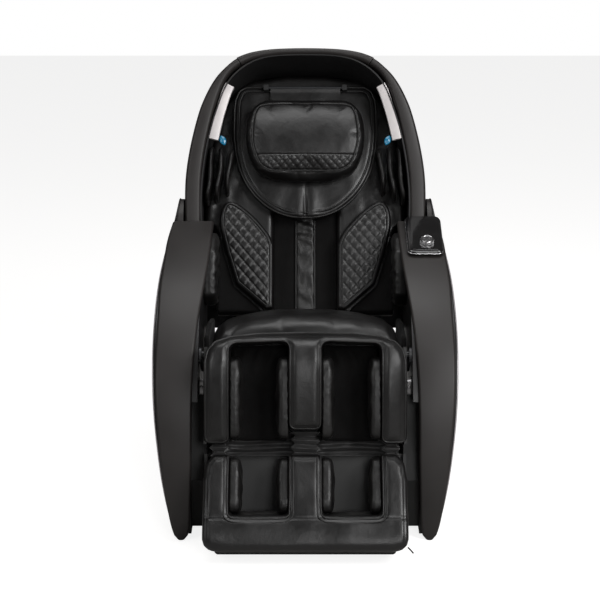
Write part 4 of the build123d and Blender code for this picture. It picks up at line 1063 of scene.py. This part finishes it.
pillow = {"half": [(0, 413), (70, 413), (108, 416), (142, 436), (162, 474), (173, 526), (169, 596),
                   (154, 638),
                   (126, 656), (60, 660), (0, 660)],
          "front": [(410, 96), (424, 122), (440, 131), (467, 136), (530, 138), (585, 132), (628, 118),
                    (660, 96)],
          "seam": 478.0}


def pillowLevel(s):
    table = smoothLine(pillow["front"], 100)
    return np.interp(s, table[:, 0], table[:, 1])


def pillowCushion():
    curve = smoothLine(pillow["half"], 90)
    outline = evenly(np.vstack([curve, curve[::-1][1:-1] * [-1, 1]]), 240, closed=True)
    piece = softPad("pillow", outline, onBack, 56.0, lambda u, v: pillowLevel(v) - 5, 30, 5.0, None, 0.0,
                    22.0)
    return piece, outline


pillowPiece, pillowEdge = pillowCushion()
pillowPiece = inflated(pillowPiece, 7.0, 3.0)
pillowPiece = subdivided(pillowPiece)


def toBack(points):  # reverse of onBack
    rel = np.asarray(points) - backFoot
    return rel[:, 0] / mm, rel @ backUp / mm, rel @ backOut / mm


def pillowDetail(piece):
    x, s, n = toBack(coords(piece))
    front = unit((n - 84) / 16)
    away = edgeDistance(np.stack([x, s], 1), pillowEdge)
    seamLow = bell(s - pillow["seam"], 2.2) * unit((away - 14) / 6)
    gusset = bell(away - 20, 2.2)
    band = unit((pillow["seam"] - 3 - s) / 3) * unit((away - 21) / 5)
    quilt = quilted(x, s, 17.0, 2.0, 0.8, 46.0) * band
    atSides = unit((22 - away) / 10) * (np.abs(x) > 110)
    folds = wrinkles(np.stack([x, s, n], 1) * mm, 20, 3.4, 6.6, (0.7, 1.5, 1)) * atSides
    broad = flatWrinkles(x, s, 90, 2.0, 8.1)
    middle = -3.0 * bell(x, 16) * unit((s - 590) / 30)
    move = front * (quilt - 3.2 * seamLow - 3.0 * gusset + broad + middle) + folds
    return setCoords(piece, coords(piece) + mm * move[:, None] * backOut)


pillowDetail(pillowPiece)
fit(pillowPiece, "pillow", "leather_black", ["head_pillow"])
loop = offsetLoop(pillowEdge, 19.5)
levels = pillowLevel(loop[:, 1]) - 5 - 30 * (1 - np.sqrt(1 - (1 - 19.5 / 30) ** 2)) + 1.0
fit(tube("pillow_piping", onBack(*loop.T, levels), 2.0, closed=True), "pillow", "leather_airbag")
x = np.linspace(-136, 136, 80)
seamLine = onBack(x, pillow["seam"] + 4.5 + 0 * x, pillowLevel(pillow["seam"]) - 3.6 + 0 * x)
stitched("pillow_seam_stitches", [seamLine], "pillow", 6.0, 4.2, 0.9)


def pillowFlap():
    x, s = np.meshgrid(np.linspace(-103, 103, 60), np.linspace(640, 707, 26))
    wave = 1.6 * np.sin(x / 22.0 + 1.0) * unit((700 - s) / 50)
    level = 61.5 + wave + 4.0 * unit((s - 690) / 14)
    return thickSheet("pillow_flap", onBack(x, s, level), onBack(x, s, level - 2.2))


flapPiece = fit(pillowFlap(), "pillow", "leather_black")
x = np.linspace(-121, 121, 30)
fit(tube("flap_rod", onBack(x, 704 + 0 * x, 63 + 0 * x), 4.0, sides=12), "pillow", "frame_steel")
s = np.linspace(652, 700, 20)
stitched("flap_stitches", [onBack(sign * 97 + 0 * s, s, 63.8 + 0 * s) for sign in (-1, 1)], "pillow")

# shoulder airbags: three thin leaves a side

leaf = {"places": [(222, 380, 512, 92), (250, 360, 518, 104), (277, 350, 518, 112)], "thickness": 11.0}


def shoulderLeaf(x, low, high, reach, seed):
    outline = smoothLine([(low, 23), (low + 2, reach - 26), (low + 26, reach - 3), ((low + high) / 2, reach),
                          (high - 24, reach - 3), (high - 3, reach - 24), (high, 23)], 90)
    outline = evenly(outline, 110, closed=True)
    half = leaf["thickness"] / 2

    def place(u, v, level):
        lean = -6.0 * (u - (low + high) / 2) / 70 + 2.5 * np.sin((u - low) / 24 + seed)
        return onBack(x + lean + level, u, v)

    def puff(u, v, away, h):
        return 2.5 * unit(away / 30) + flatWrinkles(u, v, 16, 2.2, seed, (1, 0.5, 1))

    return subdivided(softPad("leaf", outline, place, -half, half, 5.5, 3.5, puff, 0.0, 5.5))


leaves = [shoulderLeaf(*spot, seed) for seed, spot in enumerate(leaf["places"])]
leafCords = []
for seed, (x0, low, high, reach) in enumerate(leaf["places"]):
    run = smoothLine([(low + 2, 30), (low + 4, reach - 26), (low + 27, reach - 2),
                      ((low + high) / 2, reach + 0.5),
                      (high - 25, reach - 2), (high - 5, reach - 24), (high - 2, 30)], 70)
    lean = -6.0 * (run[:, 0] - (low + high) / 2) / 70 + 2.5 * np.sin((run[:, 0] - low) / 24 + seed)
    leafCords.append(tube("leaf_cord", onBack(x0 + lean, run[:, 0], run[:, 1]), 1.8))
right = joined("leaves", leaves + leafCords)
fit(joined("shoulder_leaves", [right, flipped(right, "leaf_twin")]), "backrest", "leather_airbag",
    ["shoulder_airbags"])
print("back cushions made")

# seat cushion

seat = {"half": 255.0, "arch": 40.0,
        "top": [(-277, 505), (-262, 530), (-240, 543), (-195, 551), (-100, 536), (0, 510), (90, 484)],
        "pan": [(-277, 466), (-262, 452), (-200, 447), (90, 372)]}


def seatCushion():
    top, pan = smoothLine(seat["top"], 120), np.array(seat["pan"], float)
    outline = filleted([(-255, -277), (255, -277), (255, 90), (-255, 90)], 36, 5)

    def under(u, v):
        return np.interp(v, pan[:, 0], pan[:, 1])

    def over(u, v):
        return np.interp(v, top[:, 0], top[:, 1]) - seat["arch"] * (np.abs(u) / seat["half"]) ** 2.2

    def seams(u, v, away, h):
        cross = -4.0 * bell(v + 60, 4.0) * unit(away / 20)
        sideSeam = -3.0 * bell(away - 24, 3.0) * (np.abs(u) > 200)
        soft = flatWrinkles(u, v, 60, 3.0, 2.9) * unit(away / 30)
        return cross + sideSeam + soft

    return softPad("seat", outline, lambda u, v, t: onSide(v, t, u), under, over, 40, 6.0, seams, 0.0, 8.0)


seatPiece = subdivided(inflated(seatCushion(), 6.0, 3.0))
fit(seatPiece, "seat", "leather_black", ["seat_cushion"])


def seatSkirt():  # black felt curtain that closes the gap between seat and arm
    outline = filleted([(-256, 388), (-262, 470), (-250, 512), (-100, 506), (30, 480), (60, 470),
                        (60, 378)], 10, 6)

    def wavy(u, v, away, h):
        return 1.5 * np.sin(u / 11.0) * unit(away / 15)

    return subdivided(softPad("seat_skirt", outline, onSide, 258.5, 272.0, 5, 5.0, wavy))


fitSides(seatSkirt(), "seat_curtain", "seat", "stretch_black")


def wallBracket():  # plated angle that guides the leg rest, screwed to the arm's inner wall
    front = panel("flange", filleted([(269, 374), (284, 374), (284, 416), (269, 416)], 3, 2),
                  lambda u, v, t: onSide(t - 332.0, v, u), 0.0, 3.0, 0.8)
    wall = panel("web", filleted([(-330, 374), (-300, 374), (-300, 416), (-330, 416)], 3, 2),
                 lambda u, v, t: onSide(u, v, 281.4 + t), 0.0, 3.0, 0.8)
    turn = np.linspace(0, 2 * math.pi, 24, endpoint=False)
    circles = ((4.2, 0.0), (4.2, 2.6), (3.4, 3.4), (1.8, 3.4), (1.6, 1.6))
    bolt = ringShell("bolt", [mm * np.stack([276 + r * np.cos(turn), -332.0 - t + 0 * turn,
                                             395 + r * np.sin(turn)], -1) for r, t in circles])
    return joined("wall_bracket", [front, wall, bolt])


fitSides(wallBracket(), "leg_guide_bracket", "base", "bracket_grey")
print("seat made")

# leg rest

calf = {"front": [(-235, 52), (-221, 56), (-120, 80), (-42, 88), (6, 80), (32, 64), (51, 32), (60, 2)],
        "half": 265.0, "well": (44.0, 197.0), "wellTop": 30.0}


def calfLevel(s):
    table = smoothLine(calf["front"], 120)
    return np.interp(s, table[:, 0], table[:, 1])


def calfSlope(x):  # how far the front falls off over the outer bolsters
    return 8.0 * unit((np.abs(x) - 200) / 58) ** 2


def calfShape():
    inner, outer = calf["well"]
    right = [(0, -200), (inner, -200), (inner, calf["wellTop"]), (outer, calf["wellTop"] - 6), (outer, -235),
             (calf["half"], -235), (calf["half"], -20), (258, 10), (238, 34), (196, 49), (120, 58), (0, 61)]
    return right, filleted(right + [(-x, s) for x, s in right[::-1][1:-1]], 21, 3.5)


def calfCushion():
    corners, outline = calfShape()

    def over(u, v):
        return calfLevel(v) - calfSlope(u)

    def seams(u, v, away, h):
        edge = -2.8 * bell(away - 11, 2.0)
        middle = 3.5 * unit(away / 22)
        soft = flatWrinkles(u, v, 70, 2.4, 7.3, (1.3, 0.7, 1)) * unit(away / 20)
        return edge + middle + soft

    def under(u, v):
        rear = np.where(v > -12, -46.0 + 0 * u, -22.0 + 0 * u)
        return np.where(np.abs(u) > 256.5, 32.0, rear)

    return subdivided(softPad("calf", outline, onLeg, under, over, 17, 4.0, seams, 0.0, 10.0)), outline


calfPiece, calfEdge = calfCushion()
fit(calfPiece, "calf_rest", "leather_black", ["calf_cushion"])


def roundedLevel(level, radius, inset):
    return level - radius * (1 - math.sqrt(max(0.0, 1 - (1 - inset / radius) ** 2)))


loop = offsetLoop(calfEdge, 4.5)
level = roundedLevel(calfLevel(loop[:, 1]), 17, 4.5) - calfSlope(loop[:, 0])
fit(tube("calf_piping", onLeg(*loop.T, level + 0.6), 2.4, closed=True), "calf_rest", "leather_airbag")
loop = offsetLoop(calfEdge, 15.0)
level = calfLevel(loop[:, 1]) - calfSlope(loop[:, 0])
stitched("calf_stitches", [onLeg(*loop.T, level + 1.8)], "calf_rest", 6.5, 4.6, 1.0)


def calfPads():
    outline = filleted([(44, -230), (197, -230), (197, 24), (44, 27)], 8, 4)

    def ruche(u, v, away, h):
        top = unit((v + 60) / 50)
        gathers = 3.0 * np.sin(u / 6.0 + 1.5 * np.sin(v / 21.0)) * top
        return (gathers + flatWrinkles(u, v, 40, 3.0, 3.3)) * unit(away / 12)

    right = subdivided(softPad("calf_pad", outline, onLeg, -47.0, -24.0, 12, 4.5, ruche, 4.0))
    return joined("calf_back_pads", [right, flipped(right, "calf_pad_twin")])


fit(calfPads(), "calf_rest", "stretch_black", ["calf_pads"])


def wellLeaf(points, x, lean, seed, thick=24.0):  # puffed airbag on one side wall of a well
    outline = evenly(smoothLine(points + [points[0]], 120), 130, closed=True)

    def place(u, v, level):
        return onLeg(x + lean * level, u, v)

    def puff(u, v, away, h):
        swell = 8.0 * unit(away / 34) ** 0.7
        return swell + flatWrinkles(u, v, 26, 4.0, seed, (0.6, 1.3, 1)) * unit(away / 8)

    return subdivided(softPad("well_leaf", outline, place, 0.5, thick, 8, 3.5, puff, 0.0, 2.0))


def wellAirbags(name, points, seed):
    inner, outer = calf["well"]
    right = joined("well_pair", [wellLeaf(points, inner, 1, seed), wellLeaf(points, outer, -1, seed + 3.1)])
    return joined(name, [right, flipped(right, "well_twin")])


fit(wellAirbags("calf_leaves", [(-222, -14), (-224, 20), (-218, 42), (-190, 56), (-120, 66), (-60, 70),
                                (-30, 62), (-10, 40), (-8, 0), (-20, -16), (-120, -20)], 1.0),
    "calf_rest", "leather_airbag", ["calf_airbags"])

# pleated skirt between the calf rest and the foot rest

skirt = {"top": -204.0, "foot": -268.0, "pleats": 3, "depth": 24.0, "rows": 25,
         "cloth": 1.4, "round": 1.55, "cut": 0.072}


def skirtShape():
    return filleted([(-252, 34), (-200, 34), (-200, -26), (-41, -26), (-41, 34), (41, 34), (41, -26),
                     (200, -26),
                     (200, 34), (252, 34), (252, -50), (-252, -50)], 12, 5)


def legSkirt():  # a band of cloth round the wells, tucked in pleats and rippled between them
    loop = skirtShape()
    arc = measured(loop)[1]
    outer, inner = [], []
    for t in np.linspace(0, 1, skirt["rows"]):
        s = skirt["top"] + t * (skirt["foot"] - skirt["top"])
        tuck = skirt["depth"] / 2 * (1 - math.cos(2 * math.pi * skirt["pleats"] * t))
        ripple = 3.0 * np.sin(arc / 23.0 + 3 * t) + 2.0 * np.sin(arc / 9.0 + 8 * t)
        frontShare = unit((loop[:, 1] + 30) / 10) * 0.75 + 0.25
        amount = 3.0 + (tuck + ripple * (0.3 + math.sin(math.pi * t))) * 0.5 * frontShare
        sway = 3.0 * np.sin(arc / 41.0 + 1.0) * math.sin(math.pi * t)
        for rings, inwards in ((outer, amount), (inner, amount + skirt["cloth"])):
            moved = offsetLoop(loop, inwards[:, None])
            rings.append(onLeg(moved[:, 0], s + sway, moved[:, 1]))
    count, rows = len(loop), skirt["rows"]
    far = rows * count
    faces = []
    for i in range(rows - 1):
        for j in range(count):
            a, b = i * count + j, i * count + (j + 1) % count
            faces += [(a, b, b + count, a + count), (far + a, far + a + count, far + b + count, far + b)]
    for i in (0, rows - 1):
        for j in range(count):
            a, b = i * count + j, i * count + (j + 1) % count
            faces.append((a, b, far + b, far + a))
    return pointOutwards(newPiece("leg_skirt", np.vstack(outer + inner), faces))


skirtPiece = fit(subdivided(legSkirt()), None, "bellows_black", ["leg_bellows"], sharp=80)
onLeg(0, skirt["top"], 0)
onLeg(0, skirt["foot"], 0)
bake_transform(skirtPiece)

# foot rest

foot = {"front": [(-262, 45), (-292, 60), (-360, 84), (-418, 104), (-450, 116), (-478, 122), (-500, 121),
                  (-512, 112)],
        "half": 265.0, "wellFoot": -418.0, "foot": -512.0}


def footLevel(s):
    table = smoothLine(foot["front"][::-1], 120)
    return np.interp(s, table[:, 0], table[:, 1])


def footShape():
    inner, outer = calf["well"]
    right = [(0, -262), (inner, -262), (inner, foot["wellFoot"]), (outer, foot["wellFoot"]), (outer, -262),
             (238, -262),
             (258, -284), (foot["half"], -330), (foot["half"], -478), (261, -494), (248, -506),
             (226, foot["foot"]),
             (0, foot["foot"])]
    whole = right + [(-x, s) for x, s in right[::-1][1:-1]]
    return filleted(whole, 16, 3.5)


def footCushion():
    def over(u, v):
        return footLevel(v)

    def seams(u, v, away, h):
        edge = -2.6 * bell(away - 11, 2.0) * unit((v + 500) / 20)
        across = -3.2 * bell(v + 424, 2.4)
        middle = 3.0 * unit(away / 22)
        soft = flatWrinkles(u, v, 60, 3.2, 5.5, (0.8, 1.2, 1)) * unit(away / 16)
        return edge + across + middle + soft

    def under(u, v):
        return np.where(v < foot["wellFoot"], 50.0 + 0 * u, -20.0 + 0 * u)

    return subdivided(softPad("foot", footShape(), onLeg, under, over, 16, 4.0, seams, 0.0, 4.0))


fit(footCushion(), "foot_rest", "leather_black", ["foot_bolsters"])


def wellCords(offset, thick, name):
    inner, outer = calf["well"]
    cords = []
    for sign in (-1, 1):
        low = foot["wellFoot"]
        run = [(inner - offset, -268), (inner - offset, low + 22), (inner - offset + 6, low - offset * 0.6),
               (inner + 26, low - 4 - offset), (outer - 26, low - 4 - offset),
               (outer + offset - 6, low - offset * 0.6),
               (outer + offset, low + 22), (outer + offset, -268)]
        run = smoothLine(run, 110)
        cords.append(tube(name, onLeg(sign * run[:, 0], run[:, 1], footLevel(run[:, 1]) - 5 + offset * 0.5),
                          thick))
    return joined(name, cords)


fit(wellCords(4.0, 2.4, "foot_well_piping"), "foot_rest", "leather_airbag")
fit(wellCords(13.0, 1.8, "foot_well_inner_piping"), "foot_rest", "leather_airbag")


def footSole():
    # toe panel below the wells, with the heel's swell where the rollers turn under the cover
    corners = filleted([(-236, -46), (236, -46), (236, 58), (-236, 58)], 14, 5)

    def over(u, v):
        swell = 16.0 * bell(v - 24, 26) * unit(1 - ((np.abs(u) - 120.5) / 66) ** 8)
        return -424.0 + np.maximum(swell, 0) * (np.abs(u) > 50) * (np.abs(u) < 191)

    def under(u, v):
        return -500.0 + 0 * u - 20 * unit((v + 10) / 60)

    def soft(u, v, away, h):
        return flatWrinkles(u, v, 30, 2.6, 8.8) * unit(away / 8) - 1.0

    return subdivided(softPad("sole", corners, lambda u, v, t: onLeg(u, t, v), under, over, 6, 5.0, soft))


fit(footSole(), "foot_rest", "leather_airbag", ["foot_sole"])
fit(wellAirbags("foot_leaves", [(-414, -14), (-416, 30), (-410, 66), (-380, 74), (-330, 56), (-290, 40),
                                (-274, 24), (-272, -8), (-290, -18), (-350, -20)], 5.0),
    "foot_rest", "leather_airbag", ["foot_airbags"])
pull = [onLeg(x, s, n) for x, s, n in ((262, -498, 112), (270, -506, 114), (276, -513, 115))]
fit(tube("zip_pull", smoothLine(pull, 10), 2.0), "foot_rest", "leather_airbag")
print("leg rest made")

# floor, light and camera

floor = newPiece("floor", [(-9, -9, 0), (9, -9, 0), (9, 9, 0), (-9, 9, 0)], [(0, 1, 2, 3)])
paper = bpy.data.materials.new("PalePaperFloor")
paper.use_nodes = True
tree = paper.node_tree
tree.nodes.clear()
matte = addNode(tree, "ShaderNodeBsdfDiffuse", {"Color": toLinear("#b4b2b0")})
glow = addNode(tree, "ShaderNodeEmission", {"Color": toLinear("#ffffff"), "Strength": 0.84})
seen = addNode(tree, "ShaderNodeLightPath")  # the paper's own glow is seen but lights nothing
pale = addNode(tree, "ShaderNodeAddShader", {}, {0: matte.outputs["BSDF"], 1: glow.outputs["Emission"]})
both = addNode(tree, "ShaderNodeMixShader", {}, {0: seen.outputs["Is Camera Ray"], 1: matte.outputs["BSDF"],
                                                 2: pale.outputs["Shader"]})
addNode(tree, "ShaderNodeOutputMaterial", {}, {"Surface": both.outputs["Shader"]})
floor.data.materials.append(paper)

world = bpy.data.worlds.new("softStudio")
world.use_nodes = True
tree = world.node_tree
tree.nodes.clear()
dim = addNode(tree, "ShaderNodeBackground", {"Color": toLinear("#f7f5f3"), "Strength": 0.07})
white = addNode(tree, "ShaderNodeBackground", {"Color": toLinear("#ffffff"), "Strength": 1.0})
straight = addNode(tree, "ShaderNodeLightPath")
both = addNode(tree, "ShaderNodeMixShader", {}, {0: straight.outputs["Is Camera Ray"],
                                                 1: dim.outputs["Background"],
                                                 2: white.outputs["Background"]})
addNode(tree, "ShaderNodeOutputWorld", {}, {"Surface": both.outputs["Shader"]})
bpy.context.scene.world = world
bpy.context.scene.view_settings.view_transform = "Standard"


def softBox(name, place, target, size, power):
    lamp = bpy.data.lights.new(name, "AREA")
    lamp.shape = "RECTANGLE"
    lamp.size, lamp.size_y = size
    lamp.energy = power
    holder = bpy.data.objects.new(name, lamp)
    holder.location = place
    holder.rotation_euler = (Vector(target) - Vector(place)).to_track_quat("-Z", "Y").to_euler()
    bpy.context.scene.collection.objects.link(holder)


softBox("keyBox", (2.4, -2.6, 3.0), (0, 0, 0.6), (1.5, 1.9), 108)
softBox("fillBox", (-2.8, -2.6, 2.6), (0, 0, 0.6), (1.2, 2.0), 30)
softBox("frontBox", (0.9, -4.2, 1.8), (0, 0, 0.7), (1.0, 1.3), 38)
softBox("topBox", (0, 0.1, 3.6), (0, 0.0, 0.6), (2.4, 1.6), 50)

lens = bpy.data.cameras.new("studioCamera")
lens.sensor_width, lens.lens = 36.0, 106.695
lens.shift_x, lens.shift_y = -0.00883, -0.0328
camera = bpy.data.objects.new("studioCamera", lens)
camera.location = (0, -4.8296, 1.8941)
camera.rotation_euler = (math.radians(75), 0, 0)
bpy.context.scene.collection.objects.link(camera)
bpy.context.scene.camera = camera
